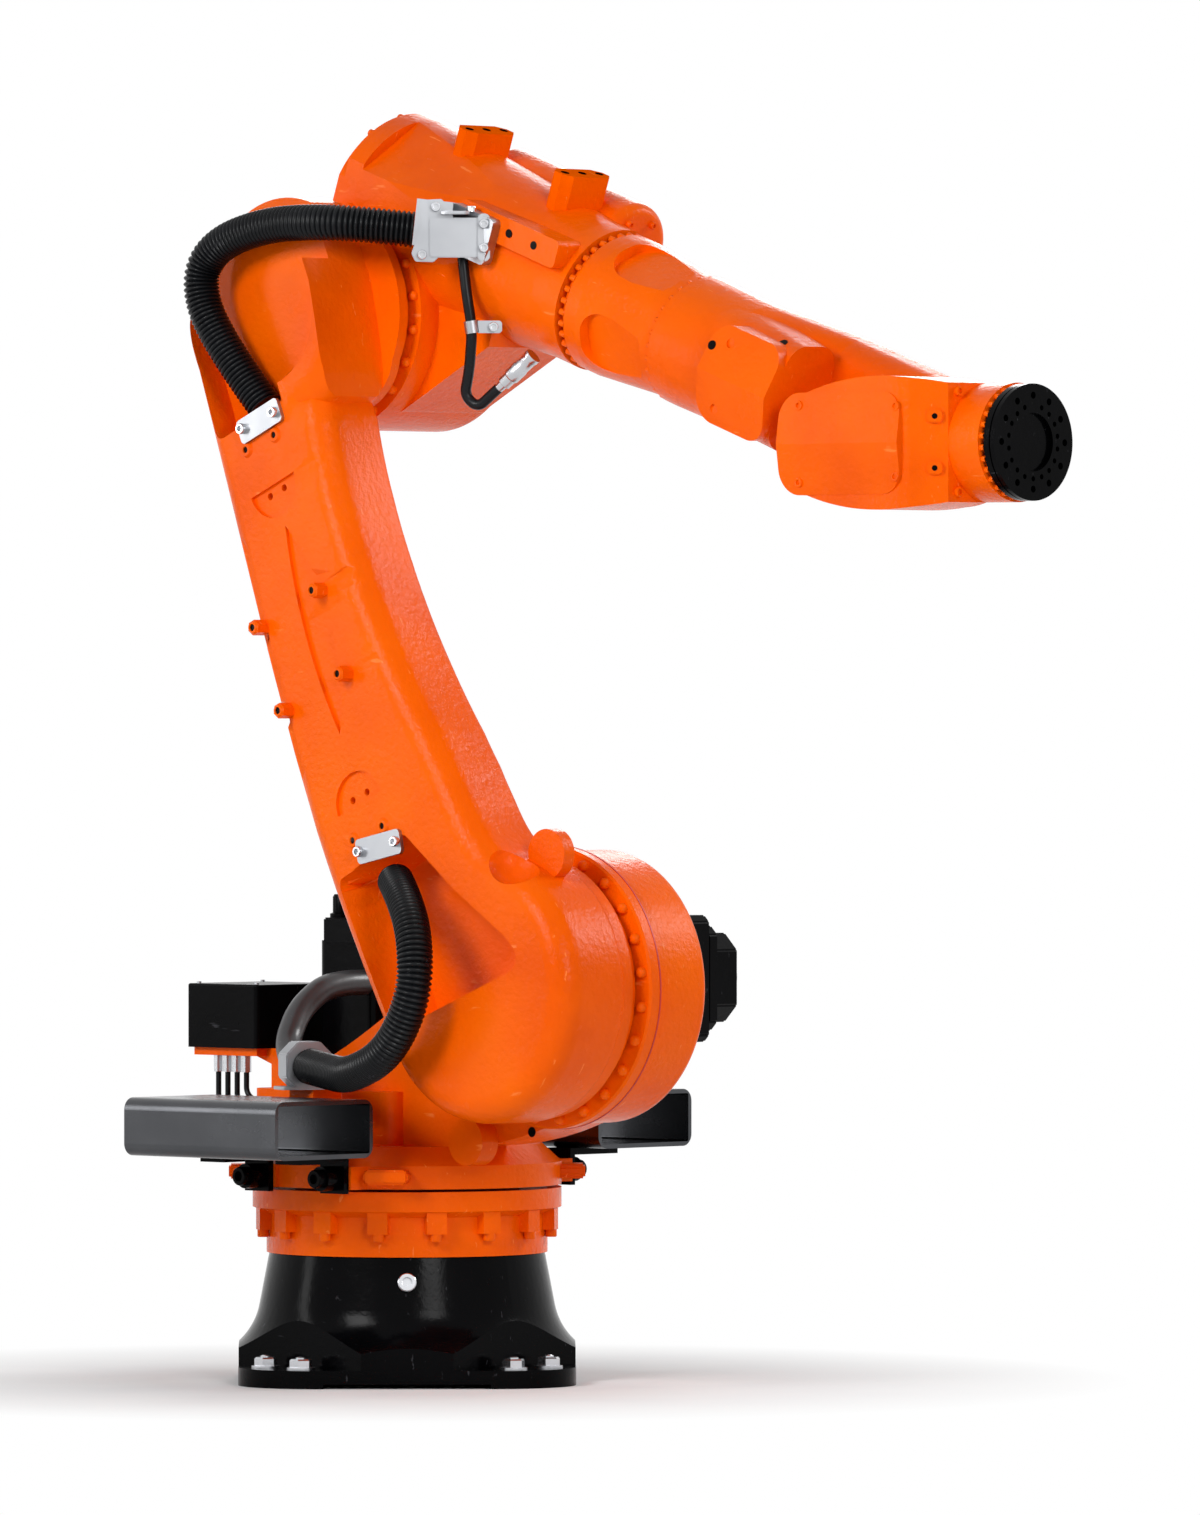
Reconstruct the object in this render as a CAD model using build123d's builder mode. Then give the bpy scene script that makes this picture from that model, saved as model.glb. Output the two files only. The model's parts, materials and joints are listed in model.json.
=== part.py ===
"""Six-axis industrial robot arm on a cast pedestal: millimetres, +X forward, +Z up, origin on the floor
under the turning axis."""

import os
from math import cos, hypot, radians, sin, tan

from build123d import *

os.makedirs("parts", exist_ok=True)

# Arm geometry: where the six axes lie
shoulder_reach = 495
shoulder_height = 712
link_length = 1297
link_lean = 23.64
elbow_offset = 193
arm_pitch = 19.5
wrist_reach = 1278
flange_reach = 264

# Running gaps, fits and the overrun of a cut
seam = 5
fit = 0.3
overrun = 20

# Pedestal and its four feet
foot_size = 600
foot_corner = 140
foot_thickness = 32
pad_height = 8
pad_slot_width = 295
pedestal_height = 230
pedestal_radius = 246
waist_radius = 264
waist_height = 136
flare_radius = 322
flare_height = 55
pocket_wall = 270
foot_bolt_reach = 310
foot_bolt_spread = 89
foot_bolt_hole = 26

# Fixed ring under the turning column
ring_top = 346
ring_skirt_radius = 251
ring_band_radius = 276
ring_band_bottom = 311
ring_cone_bottom = 300
ring_boss_count = 16
ring_boss_width = 36
ring_boss_reach = 271
ring_boss_bottom = 271
spigot_radius = 200
spigot_depth = 40

# Turning column
column_band_top = 392
column_shelf = 425
column_neck_radius = 240
lug_width = 70
lug_reach = 292
tower_near = -115
tower_far = 10
tower_rear_reach = 225
tower_rear_height = 520
tower_front_angle = -30
tower_rear_angle = 150
tower_hollow = 40
tower_fillet = 12
rear_block_width = 300
rear_block_length = 350
rear_block_center = -70
rear_block_fillet = 24
stop_reach = 300
stop_radius = 42
stop_length = 40
stop_height = 437

# Shoulder drum, its bearing and its motor
ring_plane = -150
drum_radius = 240
drum_rim_radius = 248
drum_rim_depth = 24
drum_rim_chamfer = 4
drum_fillet = 16
bearing_radius = 150
bearing_depth = 24
motor_width = 190
motor_height = 232
motor_corner = 52
motor_flange_depth = 70
motor_length = 266
motor_body_height = 190
motor_cap_radius = 74
motor_cap_depth = 26
motor_cap_fillet = 10

# Column motor, upright behind the tower
column_motor_x = -170
column_motor_y = 90
column_motor_width = 150
column_motor_corner = 22
column_motor_top = 782
column_plug_radius = 26
column_plug_height = 34

# Connection box behind the column, its bracket, glands and leads
box_rear = -467
box_length = 181
box_width = 193
box_bottom = 588
box_height = 115
box_lid_height = 22
box_corner = 8
box_plate_thickness = 14
box_plate_rim = 10
box_post_width = 120
box_post_thickness = 40
gland_count = 4
gland_pitch = 24
gland_radius = 9
gland_length = 30
lead_radius = 5
lead_bend = 22
lead_rise = 8

# Fork pockets for lifting and their brackets
pocket_length = 381
pocket_center = 9.5
pocket_width = 241
pocket_height = 103
pocket_inner = 285
pocket_bottom = 410
pocket_thickness = 8
pocket_corner = 22
pocket_inner_corner = 4
bracket_width = 60
bracket_thickness = 12
bracket_foot = 110
bracket_drop = 66
bracket_spread = 190
spacer_radius = 22
spacer_length = 30

# Link arm casting: the front edge is given as places forward of the link and shares of its length
link_near = -345
link_far = -190
hub_ring_radius = 230
hub_ring_far = -170
link_neck_radius = 216
lower_hub_radius = 235
upper_hub_radius = 205
upper_hub_near = -278
elbow_ring_radius = 196
elbow_neck_radius = 178
rear_edge_low = 235
rear_edge_high = 203
front_edge = (190, 107, 33, -9, 18, 60, 150)
front_edge_shares = (0.1064, 0.1943, 0.3531, 0.5705, 0.8034, 0.882, 0.9375)
link_near_fillet = 48
link_far_fillet = 16
bowl_radius = 133
bowl_taper = 30
upper_scoop_start = 166
upper_scoop_wall = 185
upper_scoop_front = 10
pillar_rise = 44
scoop_fillet = 26
lower_scoop = ((-40, 316), (-192, 300), (-204, 2), (146, -12), (118, 52), (36, 176))
scoop_depth = 105
scoop_taper = 12
lug_disc_place = (195, 172)
lug_disc_radius = 44
lug_disc_thickness = 26
lug_disc_y = -250
lug_hollow_radius = 54
lug_hollow_place = (178, 178)
lug_hollow_y = -322
half_moon_radius = 58
half_moon_depth = 7
half_moon_hole = 13
half_moon_hole_pitch = 38
half_moon_hole_depth = 30
half_moon_hole_rise = 14
half_moon_upper = (-92, 293)
half_moon_lower = (-117, 402)
groove_front = -57
groove_rear = -122
groove_ends = (-91, -113)
groove_shares = (0.714, 0.552, 0.41)
groove_depth = 7
standoff_radius = 14
standoff_height = 26
standoff_place = -131
standoff_share = 0.541
standoff_across = 162
standoff_along = 160

# Clamp plates in the link arm's scoops: the upper one is placed from the elbow axis
clamp_plate_length = 110
clamp_plate_width = 44
clamp_plate_corner = 8
clamp_plate_thickness = 8
lower_plate_place = (-97, 312)
lower_plate_turn = -12
upper_plate_place = (-70, -179)

# Hoses: each route runs as offsets from an axis and from the near side of the link arm
hose_diameter = 64
bend_share = 0.45
column_hose_route = ((20, 83, 141), (115, 33, 135), (243, -40, 131))
shoulder_hose_route = ((-123, -71, -112), (-57, -75, -12), (-71, -59, 88), (-139, -17, 156), (-211, 31, 188))
elbow_hose_route = (
    (-17, 32, -166), (-125, 9, -38), (-165, 7, 62), (-125, 15, 142), (-5, 21, 174), (131, 27, 172),
)
arm_hose_route = ((142.3, 79, 31.3), (194, 129, 41.1))
conduit_diameter = 46
conduit_route = (
    (-36.6, -232.2, 144.6), (-84, -207.2, 147.6), (-120, -182, 181), (-132, -142, 235), (-126, -88, 275),
    (-122, -34, 283), (-122, 15, 283),
)
clamp_width = 76
clamp_height = 82
clamp_depth = 64
clamp_chamfer = 10
post_x = -14
post_y = -216
post_length = 60
post_width = 70

# Elbow housing around the roll axis
elbow_bearing_radius = 110
elbow_hub_radius = 205
elbow_hub_far = 130
elbow_hub_fillet = 30
housing_rear = -70
rear_rim_radius = 165
rear_rim_depth = 40
rear_cover_depth = 14
facet_angle = 40
facet_rise = 146
housing_mid = 300
housing_mid_radius = 142
collar_start = 428
collar_radius = 130
roll_seam = 496
roll_bearing_radius = 88
gusset_half_width = 100
gusset_low = (150, -333)
gusset_reach = 330
gusset_fillet = 24
boss_place = (210, -48)
boss_radius = 46
boss_top_radius = 26
boss_height = 62
boss_side = -96

# Motor cover and drilled mounting blocks on top of the elbow
motor_cover_radius = 84
motor_cover_rise = 72
motor_cover_side = 98
motor_cover_start = 80
motor_cover_fillet = 20
block_length = 50
block_width = 120
block_top = 190
block_chamfer = 16
block_rear_place = 103
block_front_place = 354
block_hole_pitch = 43
block_hole = 14
block_hole_depth = 30

# Rail, bracket, thin cable, clip and plugs on the near side of the elbow
rail_root = -90
rail_place = 352
rail_rise = 74
rail_length = 250
rail_height = 50
rail_corner = 10
rail_hole = 14
rail_hole_pitch = 62
rail_hole_place = 387
bracket_place = 275
bracket_rise = 48
angle_length = 110
angle_height = 84
angle_thickness = 20
cable_diameter = 19
elbow_cable_route = (
    (266.4, -157, 10.5), (299.8, -156, -53.9), (326.2, -148, -110.4), (335.9, -140, -180.1),
    (333.1, -132, -232), (361.2, -122, -245.4), (387.5, -110, -200),
)
clip_reach = 26
clip_length = 30
clip_height = 32
plug_radius = 15
plug_length = 90

# Wrist roll tube, its fork and side cover: the shares are of the run from the seam to the fork
tube_start_radius = 127
tube_groove_length = 15
tube_groove_radius = 115
tube_ring_length = 30
tube_neck_share = 0.404
tube_neck_radius = 110
tube_band_length = 30
tube_band_radius = 117
tube_end_share = 0.6875
tube_end_radius = 114
tube_pocket_shares = (0.103, 0.36)
tube_pocket_width = 110
tube_pocket_corner = 40
tube_pocket_rise = 106
tube_pocket_turns = (25, 115, 205, 295)
prong_near = 5
prong_far = 130
prong_half_height = 108
prong_corner = 50
cheek_near = -118
cheek_half_height = 96
cheek_corner = 44
cheek_gap = 30
cover_half_length = 84
cover_half_height = 88
cover_corner = 40
cover_near = -152
cover_slope = 16
cover_hole = 17
cover_hole_depth = 20
cover_hole_place = -122
cover_hole_half_pitch = 60

# Wrist pitch housing, its cover, flange ring and tool flange
pitch_near = -148
pitch_gap = -5
pitch_half_height = 114
pitch_tail = 200
pitch_tail_half = 57
pitch_shoulder = 60
pitch_rear_shoulder = 80
pitch_rear_half = 101
pitch_corner = 46
pitch_fillet = 14
pitch_bearing_radius = 60
pitch_cover_tail = 186
pitch_cover_front = 96
pitch_cover_half = 88
pitch_cover_corner = 44
pitch_cover_thickness = 14
pitch_cover_slope = 8
flange_ring_start = 161
flange_ring_full = 187
flange_ring_radius = 102
flange_ring_end = 229
flange_spigot_radius = 62
flange_radius = 100
flange_thickness = 23
flange_groove = 3
flange_groove_depth = 4
flange_pcd = 160
flange_hole = 12
flange_hole_count = 12
flange_bore = 100
flange_bore_depth = 8
inner_pcd = 125
inner_hole = 9
inner_slots = 18

# Derived places of the axes, and what follows from them
lean = radians(link_lean)
pitch = radians(arm_pitch)
elbow_x = shoulder_reach - link_length * sin(lean)
elbow_z = shoulder_height + link_length * cos(lean)
foot_x = elbow_x + elbow_offset * sin(pitch)
foot_z = elbow_z + elbow_offset * cos(pitch)
wrist_x = foot_x + wrist_reach * cos(pitch)
wrist_z = foot_z - wrist_reach * sin(pitch)
housing_near = ring_plane + seam
column_bottom = ring_top + seam
near_stop = wrist_reach - hypot(pitch_tail, pitch_tail_half) - cheek_gap
tube_neck = roll_seam + tube_neck_share * (near_stop - roll_seam)
tube_end = roll_seam + tube_end_share * (near_stop - roll_seam)
tube_pocket_start, tube_pocket_end = (
    roll_seam + share * (near_stop - roll_seam) for share in tube_pocket_shares
)


def on_arm(along, side, up):
    """A point given along the roll axis from over the elbow, across the arm, and up from the roll axis."""
    return (
        foot_x + along * cos(pitch) + up * sin(pitch), side, foot_z - along * sin(pitch) + up * cos(pitch)
    )


lower_hose_route = [(x, link_near + y, column_shelf + z) for x, y, z in column_hose_route] + [
    (shoulder_reach + x, link_near + y, shoulder_height + z) for x, y, z in shoulder_hose_route
]
upper_hose_route = [(elbow_x + x, link_near + y, elbow_z + z) for x, y, z in elbow_hose_route] + [
    on_arm(along, link_near + y, up) for along, y, up in arm_hose_route
]
conduit_points = [(x, y, column_shelf + z) for x, y, z in conduit_route]
elbow_cable_points = [on_arm(along, y, up) for along, y, up in elbow_cable_route]


def side_plane(y):
    """Seen from the right-hand side: local x is +X, local y is +Z, and pieces grow towards -Y."""
    return Plane(origin=(0, y, 0), x_dir=(1, 0, 0), z_dir=(0, -1, 0))


def shoulder_plane(y):
    """Side plane on the shoulder axis, upright."""
    return Plane(origin=(shoulder_reach, y, shoulder_height), x_dir=(1, 0, 0), z_dir=(0, -1, 0))


def link_plane(y):
    """Side plane on the shoulder axis, with local y running up the link arm."""
    return Plane(
        origin=(shoulder_reach, y, shoulder_height), x_dir=(cos(lean), 0, sin(lean)), z_dir=(0, -1, 0)
    )


def arm_plane(y):
    """Side plane over the elbow axis, with local x running along the roll axis."""
    return Plane(origin=(foot_x, y, foot_z), x_dir=(cos(pitch), 0, -sin(pitch)), z_dir=(0, -1, 0))


def roll_plane(place):
    """Plane across the roll axis: local x is +Y and local y is up."""
    return Plane(
        origin=(foot_x + place * cos(pitch), 0, foot_z - place * sin(pitch)),
        x_dir=(0, 1, 0),
        z_dir=(cos(pitch), 0, -sin(pitch)),
    )


def top_plane(place, height):
    """Plane along the roll axis, seen from above at a height over it."""
    return Plane(
        origin=on_arm(place, 0, height),
        x_dir=(0, 1, 0),
        z_dir=(sin(pitch), 0, cos(pitch)),
    )


def wrist_plane(y):
    """Side plane on the wrist pitch axis, with local x pointing to the tool."""
    return Plane(origin=(wrist_x, y, wrist_z), x_dir=(1, 0, 0), z_dir=(0, -1, 0))


def tool_plane(place):
    """Plane across the tool axis, seen from the front."""
    return Plane(origin=(wrist_x + place, 0, wrist_z), x_dir=(0, 1, 0), z_dir=(1, 0, 0))


roll_axis = Axis((foot_x, 0, foot_z), (cos(pitch), 0, -sin(pitch)))


def route_radii(points):
    """Largest arc at each corner of a hose route that its two runs leave room for."""
    spots = [Vector(*point) for point in points]
    radii = []
    for before, here, after in zip(spots, spots[1:], spots[2:]):
        half_turn = radians((here - before).get_angle(after - here)) / 2
        shorter = min((here - before).length, (after - here).length)
        radii.append(bend_share * shorter / tan(half_turn))
    return radii


def save(piece, name):
    """Labels a finished piece and writes it."""
    piece.part.label = name
    export_step(piece.part, f"parts/{name}.step")


# Pedestal: a rounded square foot under a flared neck, with a flat pocket at each corner
with BuildPart() as flare:
    with BuildSketch(Plane.XZ):
        with BuildLine():
            Polyline((0, pad_height), (0, pedestal_height), (pedestal_radius, pedestal_height))
            neck = Line((pedestal_radius, pedestal_height), (waist_radius, waist_height))
            TangentArc(neck @ 1, (flare_radius, flare_height), tangent=neck % 1)
            Polyline((flare_radius, flare_height), (flare_radius, pad_height), (0, pad_height))
        make_face()
    revolve(axis=Axis.Z)
    with BuildSketch():
        RectangleRounded(foot_size, foot_size, foot_corner, rotation=45)
    extrude(amount=pedestal_height, mode=Mode.INTERSECT)
    Box(2 * pocket_wall, 2 * pocket_wall, 2 * pedestal_height, mode=Mode.INTERSECT)

with BuildPart() as pedestal:
    with BuildSketch():
        RectangleRounded(foot_size, foot_size, foot_corner, rotation=45)
    extrude(amount=foot_thickness)
    add(flare.part)
    for turn in (45, 135):
        Box(
            2 * foot_size,
            pad_slot_width,
            pad_height,
            rotation=(0, 0, turn),
            align=(Align.CENTER, Align.CENTER, Align.MIN),
            mode=Mode.SUBTRACT,
        )
    with BuildSketch():
        with GridLocations(2 * foot_bolt_reach, foot_bolt_spread, 2, 2):
            Circle(foot_bolt_hole / 2)
        with GridLocations(foot_bolt_spread, 2 * foot_bolt_reach, 2, 2):
            Circle(foot_bolt_hole / 2)
    extrude(amount=foot_thickness, mode=Mode.SUBTRACT)
save(pedestal, "pedestal")

# Fixed ring: a band over a skirt, with bolt bosses hanging from the cone between them
with BuildPart() as gear_ring:
    with BuildSketch(Plane.XZ):
        with BuildLine():
            Polyline(
                (0, pedestal_height),
                (ring_skirt_radius, pedestal_height),
                (ring_skirt_radius, ring_cone_bottom),
                (ring_band_radius, ring_band_bottom),
                (ring_band_radius, ring_top),
                (spigot_radius, ring_top),
                (spigot_radius, ring_top - spigot_depth),
                (0, ring_top - spigot_depth),
                close=True,
            )
        make_face()
    revolve(axis=Axis.Z)
    boss_depth = ring_boss_reach - spigot_radius
    with Locations((0, 0, ring_boss_bottom)):
        with PolarLocations(
            spigot_radius + boss_depth / 2, ring_boss_count, start_angle=180 / ring_boss_count
        ):
            Box(
                boss_depth,
                ring_boss_width,
                ring_band_bottom - ring_boss_bottom,
                align=(Align.CENTER, Align.CENTER, Align.MIN),
            )
save(gear_ring, "gear_ring")

# Shoulder drum: carries the link arm's bearing on its near side and the motor on its far side
with BuildPart() as shoulder_drum:
    with BuildSketch(link_plane(ring_plane + seam)):
        Circle(drum_rim_radius)
    extrude(amount=-drum_rim_depth)
    with BuildSketch(link_plane(ring_plane + seam + drum_rim_depth)):
        Circle(drum_radius)
    extrude(amount=-(tower_far - ring_plane - seam - drum_rim_depth))
    fillet(shoulder_drum.faces().sort_by(Axis.Y)[-1].edges(), drum_fillet)
    chamfer(shoulder_drum.faces().sort_by(Axis.Y)[0].edges(), drum_rim_chamfer)
    with BuildSketch(link_plane(ring_plane + seam)):
        Circle(bearing_radius)
    extrude(amount=bearing_depth)
save(shoulder_drum, "shoulder_drum")

# Column: a turning band on the ring, a tower that cradles the drum, and lugs for the fork brackets
with BuildPart() as column:
    with BuildSketch(Plane.XZ):
        with BuildLine():
            Polyline(
                (0, column_bottom - spigot_depth + seam),
                (spigot_radius - fit, column_bottom - spigot_depth + seam),
                (spigot_radius - fit, column_bottom),
                (ring_band_radius, column_bottom),
                (ring_band_radius, column_band_top),
                (column_neck_radius, column_shelf),
                (0, column_shelf),
                close=True,
            )
        make_face()
    revolve(axis=Axis.Z)
    for turn in (-1, 1):
        with Locations((pocket_center - turn * bracket_spread / 2, 0, column_bottom)):
            Box(
                lug_width,
                2 * lug_reach - 2 * bracket_thickness,
                column_band_top - column_bottom,
                align=(Align.CENTER, Align.CENTER, Align.MIN),
            )
    front_touch = (
        shoulder_reach + drum_radius * cos(radians(tower_front_angle)),
        shoulder_height + drum_radius * sin(radians(tower_front_angle)),
    )
    rear_touch = (
        shoulder_reach + drum_radius * cos(radians(tower_rear_angle)),
        shoulder_height + drum_radius * sin(radians(tower_rear_angle)),
    )
    with BuildSketch(side_plane(tower_far)):
        with BuildLine():
            foot = Line((column_neck_radius, column_shelf), (-tower_rear_reach, column_shelf))
            rear = Line(foot @ 1, (-tower_rear_reach, tower_rear_height))
            ThreePointArc(
                rear @ 1,
                (
                    (rear_touch[0] - tower_rear_reach) / 2,
                    (rear_touch[1] + tower_rear_height) / 2 - tower_hollow,
                ),
                rear_touch,
            )
            Polyline(rear_touch, (shoulder_reach, shoulder_height), front_touch)
            ThreePointArc(
                front_touch,
                (
                    (front_touch[0] + column_neck_radius) / 2,
                    (front_touch[1] + column_shelf) / 2 - tower_hollow,
                ),
                foot @ 0,
            )
        make_face()
    extrude(amount=tower_far - tower_near)
    with BuildSketch(Plane.XY.offset(column_shelf)):
        with Locations((rear_block_center, 0)):
            RectangleRounded(rear_block_length, rear_block_width, rear_block_fillet)
    extrude(amount=tower_rear_height - column_shelf)
    with BuildSketch(side_plane(tower_near)):
        with Locations((stop_reach, stop_height)):
            Circle(stop_radius)
    extrude(amount=stop_length)
    with BuildSketch(link_plane(tower_near)):
        Circle(drum_radius + fit)
    extrude(amount=-(tower_far - tower_near), mode=Mode.SUBTRACT)
    with BuildSketch(link_plane(ring_plane)):
        Circle(drum_rim_radius + seam)
    extrude(amount=-(tower_near - ring_plane), mode=Mode.SUBTRACT)
save(column, "column")

# Shoulder motor on the drum's far side: a deep mounting flange, the motor body and its round cap
with BuildPart() as shoulder_motor:
    with BuildSketch(shoulder_plane(tower_far)):
        RectangleRounded(motor_width, motor_height, motor_corner)
    extrude(amount=-motor_flange_depth)
    with BuildSketch(shoulder_plane(tower_far)):
        RectangleRounded(motor_width, motor_body_height, motor_corner)
    extrude(amount=motor_cap_depth - motor_length)
    with BuildSketch(link_plane(tower_far)):
        Circle(motor_cap_radius)
    extrude(amount=-motor_length)
    fillet(shoulder_motor.faces().sort_by(Axis.Y)[-1].edges(), motor_cap_fillet)
save(shoulder_motor, "shoulder_motor")

# Column motor: stands on the rear of the column and drives the turning axis
with BuildPart() as column_motor:
    with BuildSketch(Plane.XY.offset(tower_rear_height)):
        with Locations((column_motor_x, column_motor_y)):
            RectangleRounded(column_motor_width, column_motor_width, column_motor_corner)
    extrude(amount=column_motor_top - tower_rear_height)
    with BuildSketch(Plane.XY.offset(column_motor_top)):
        with Locations((column_motor_x, column_motor_y)):
            Circle(column_plug_radius)
    extrude(amount=column_plug_height)
save(column_motor, "column_motor")

# Connection box with its lid, bracket, cable glands and leads
box_center = box_rear + box_length / 2
with BuildPart() as connection_box:
    with BuildSketch(Plane.XY.offset(box_bottom)):
        with Locations((box_center, 0)):
            RectangleRounded(box_length, box_width, box_corner)
    extrude(amount=box_height - box_lid_height)
save(connection_box, "connection_box")

with BuildPart() as box_lid:
    with BuildSketch(Plane.XY.offset(box_bottom + box_height - box_lid_height)):
        with Locations((box_center, 0)):
            RectangleRounded(box_length, box_width, box_corner)
    extrude(amount=box_lid_height)
    fillet(box_lid.faces().sort_by(Axis.Z)[-1].edges(), box_corner / 2)
save(box_lid, "box_lid")

rear_face = rear_block_center - rear_block_length / 2
with BuildPart() as box_bracket:
    with BuildSketch(side_plane(box_post_width / 2)):
        with BuildLine():
            Polyline(
                (box_rear + box_plate_rim, box_bottom),
                (rear_face, box_bottom),
                (rear_face, column_shelf),
                (rear_face - box_post_thickness, column_shelf),
                (rear_face - box_post_thickness, box_bottom - 2 * box_plate_thickness),
                (rear_face - 2 * box_post_thickness, box_bottom - box_plate_thickness),
                (box_rear + box_plate_rim, box_bottom - box_plate_thickness),
                close=True,
            )
        make_face()
    extrude(amount=box_post_width)
    with Locations((box_center, 0, box_bottom)):
        Box(
            box_length - 2 * box_plate_rim,
            box_width - 2 * box_plate_rim,
            box_plate_thickness,
            align=(Align.CENTER, Align.CENTER, Align.MAX),
        )
save(box_bracket, "box_bracket")

gland_y = -box_width / 2 + box_plate_rim + 2 * gland_radius
gland_top = box_bottom - box_plate_thickness
gland_spots = [
    (box_center + (number - (gland_count - 1) / 2) * gland_pitch, gland_y) for number in range(gland_count)
]
with BuildPart() as box_glands:
    with BuildSketch(Plane.XY.offset(gland_top)):
        with Locations(*gland_spots):
            RegularPolygon(gland_radius, 6)
    extrude(amount=-gland_length)
save(box_glands, "box_glands")

# Each lead drops out of its gland and bends forward into the back of the column
with BuildPart() as box_leads:
    for spot_x, spot_y in gland_spots:
        lead_height = column_shelf + lead_rise + (spot_x - box_rear) / 2
        with BuildLine() as lead_line:
            FilletPolyline(
                (spot_x, spot_y, gland_top - gland_length),
                (spot_x, spot_y, lead_height),
                (rear_face, spot_y, lead_height),
                radius=lead_bend,
            )
        with BuildSketch(Plane(origin=lead_line.line @ 0, z_dir=lead_line.line % 0)):
            Circle(lead_radius)
        sweep(path=lead_line.line)
save(box_leads, "box_leads")


# Fork pockets: rectangular tubes along both sides, each on two brackets bolted to the column's lugs
def fork_pocket(side):
    """A rounded rectangular tube along X at one side, side being -1 for the right and 1 for the left."""
    with BuildPart() as piece:
        with BuildSketch(Plane.YZ.offset(pocket_center - pocket_length / 2)):
            with Locations((side * (pocket_inner + pocket_width / 2), pocket_bottom + pocket_height / 2)):
                RectangleRounded(pocket_width, pocket_height, pocket_corner)
                RectangleRounded(
                    pocket_width - 2 * pocket_thickness,
                    pocket_height - 2 * pocket_thickness,
                    pocket_inner_corner,
                    mode=Mode.SUBTRACT,
                )
        extrude(amount=pocket_length)
    return piece


def fork_brackets(side):
    """Two angle brackets under one pocket, each with the spacer of its bolt."""
    with BuildPart() as piece:
        for place in (pocket_center - bracket_spread / 2, pocket_center + bracket_spread / 2):
            with BuildSketch(Plane.YZ.offset(place - bracket_width / 2)):
                with BuildLine():
                    Polyline(
                        (side * (lug_reach - bracket_thickness), pocket_bottom - bracket_drop),
                        (side * (lug_reach - bracket_thickness), pocket_bottom),
                        (side * (lug_reach + bracket_foot), pocket_bottom),
                        (side * (lug_reach + bracket_foot), pocket_bottom - bracket_thickness),
                        (side * lug_reach, pocket_bottom - bracket_thickness),
                        (side * lug_reach, pocket_bottom - bracket_drop),
                        close=True,
                    )
                make_face()
            extrude(amount=bracket_width)
            with BuildSketch(side_plane(side * lug_reach)):
                with Locations((place, pocket_bottom - (bracket_drop + bracket_thickness) / 2)):
                    Circle(spacer_radius)
            extrude(amount=-side * spacer_length)
    return piece


for side, name in ((-1, "right"), (1, "left")):
    save(fork_pocket(side), f"fork_pocket_{name}")
    save(fork_brackets(side), f"fork_brackets_{name}")


# Hose clamps on the column: a machined block on a post, the conduit behind it and the lower hose in front
def tube(route, diameter):
    """A round tube along a route of straight runs and tangent arcs."""
    with BuildPart() as piece:
        with BuildLine() as line:
            FilletPolyline(*route, radius=route_radii(route))
        with BuildSketch(Plane(origin=line.line @ 0, z_dir=line.line % 0)):
            Circle(diameter / 2)
        sweep(path=line.line)
    return piece


def end_plane(end, inner):
    """Plane on the end of a hose, facing away from the run that leads to it, with local y upright."""
    away = Vector(*end) - Vector(*inner)
    return Plane(origin=end, x_dir=away.cross(Vector(0, 0, 1)), z_dir=away)


with BuildPart() as column_hose_clamp:
    with BuildSketch(end_plane(lower_hose_route[0], lower_hose_route[1])):
        Rectangle(clamp_width, clamp_height)
    extrude(amount=clamp_depth)
    chamfer(column_hose_clamp.edges().filter_by(GeomType.LINE).group_by(Axis.Z)[-1], clamp_chamfer)
save(column_hose_clamp, "column_hose_clamp")

with BuildPart() as clamp_post:
    post_top = column_hose_clamp.part.bounding_box().min.Z
    with BuildSketch(Plane.XY.offset(column_shelf)):
        with Locations((post_x, post_y)):
            Rectangle(post_length, post_width)
    extrude(amount=post_top - column_shelf)
save(clamp_post, "clamp_post")

conduit_loop = tube(conduit_points, conduit_diameter)
save(conduit_loop, "conduit_loop")
lower_hose = tube(lower_hose_route, hose_diameter)
save(lower_hose, "lower_hose")
upper_hose = tube(upper_hose_route, hose_diameter)
save(upper_hose, "upper_hose")

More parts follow.
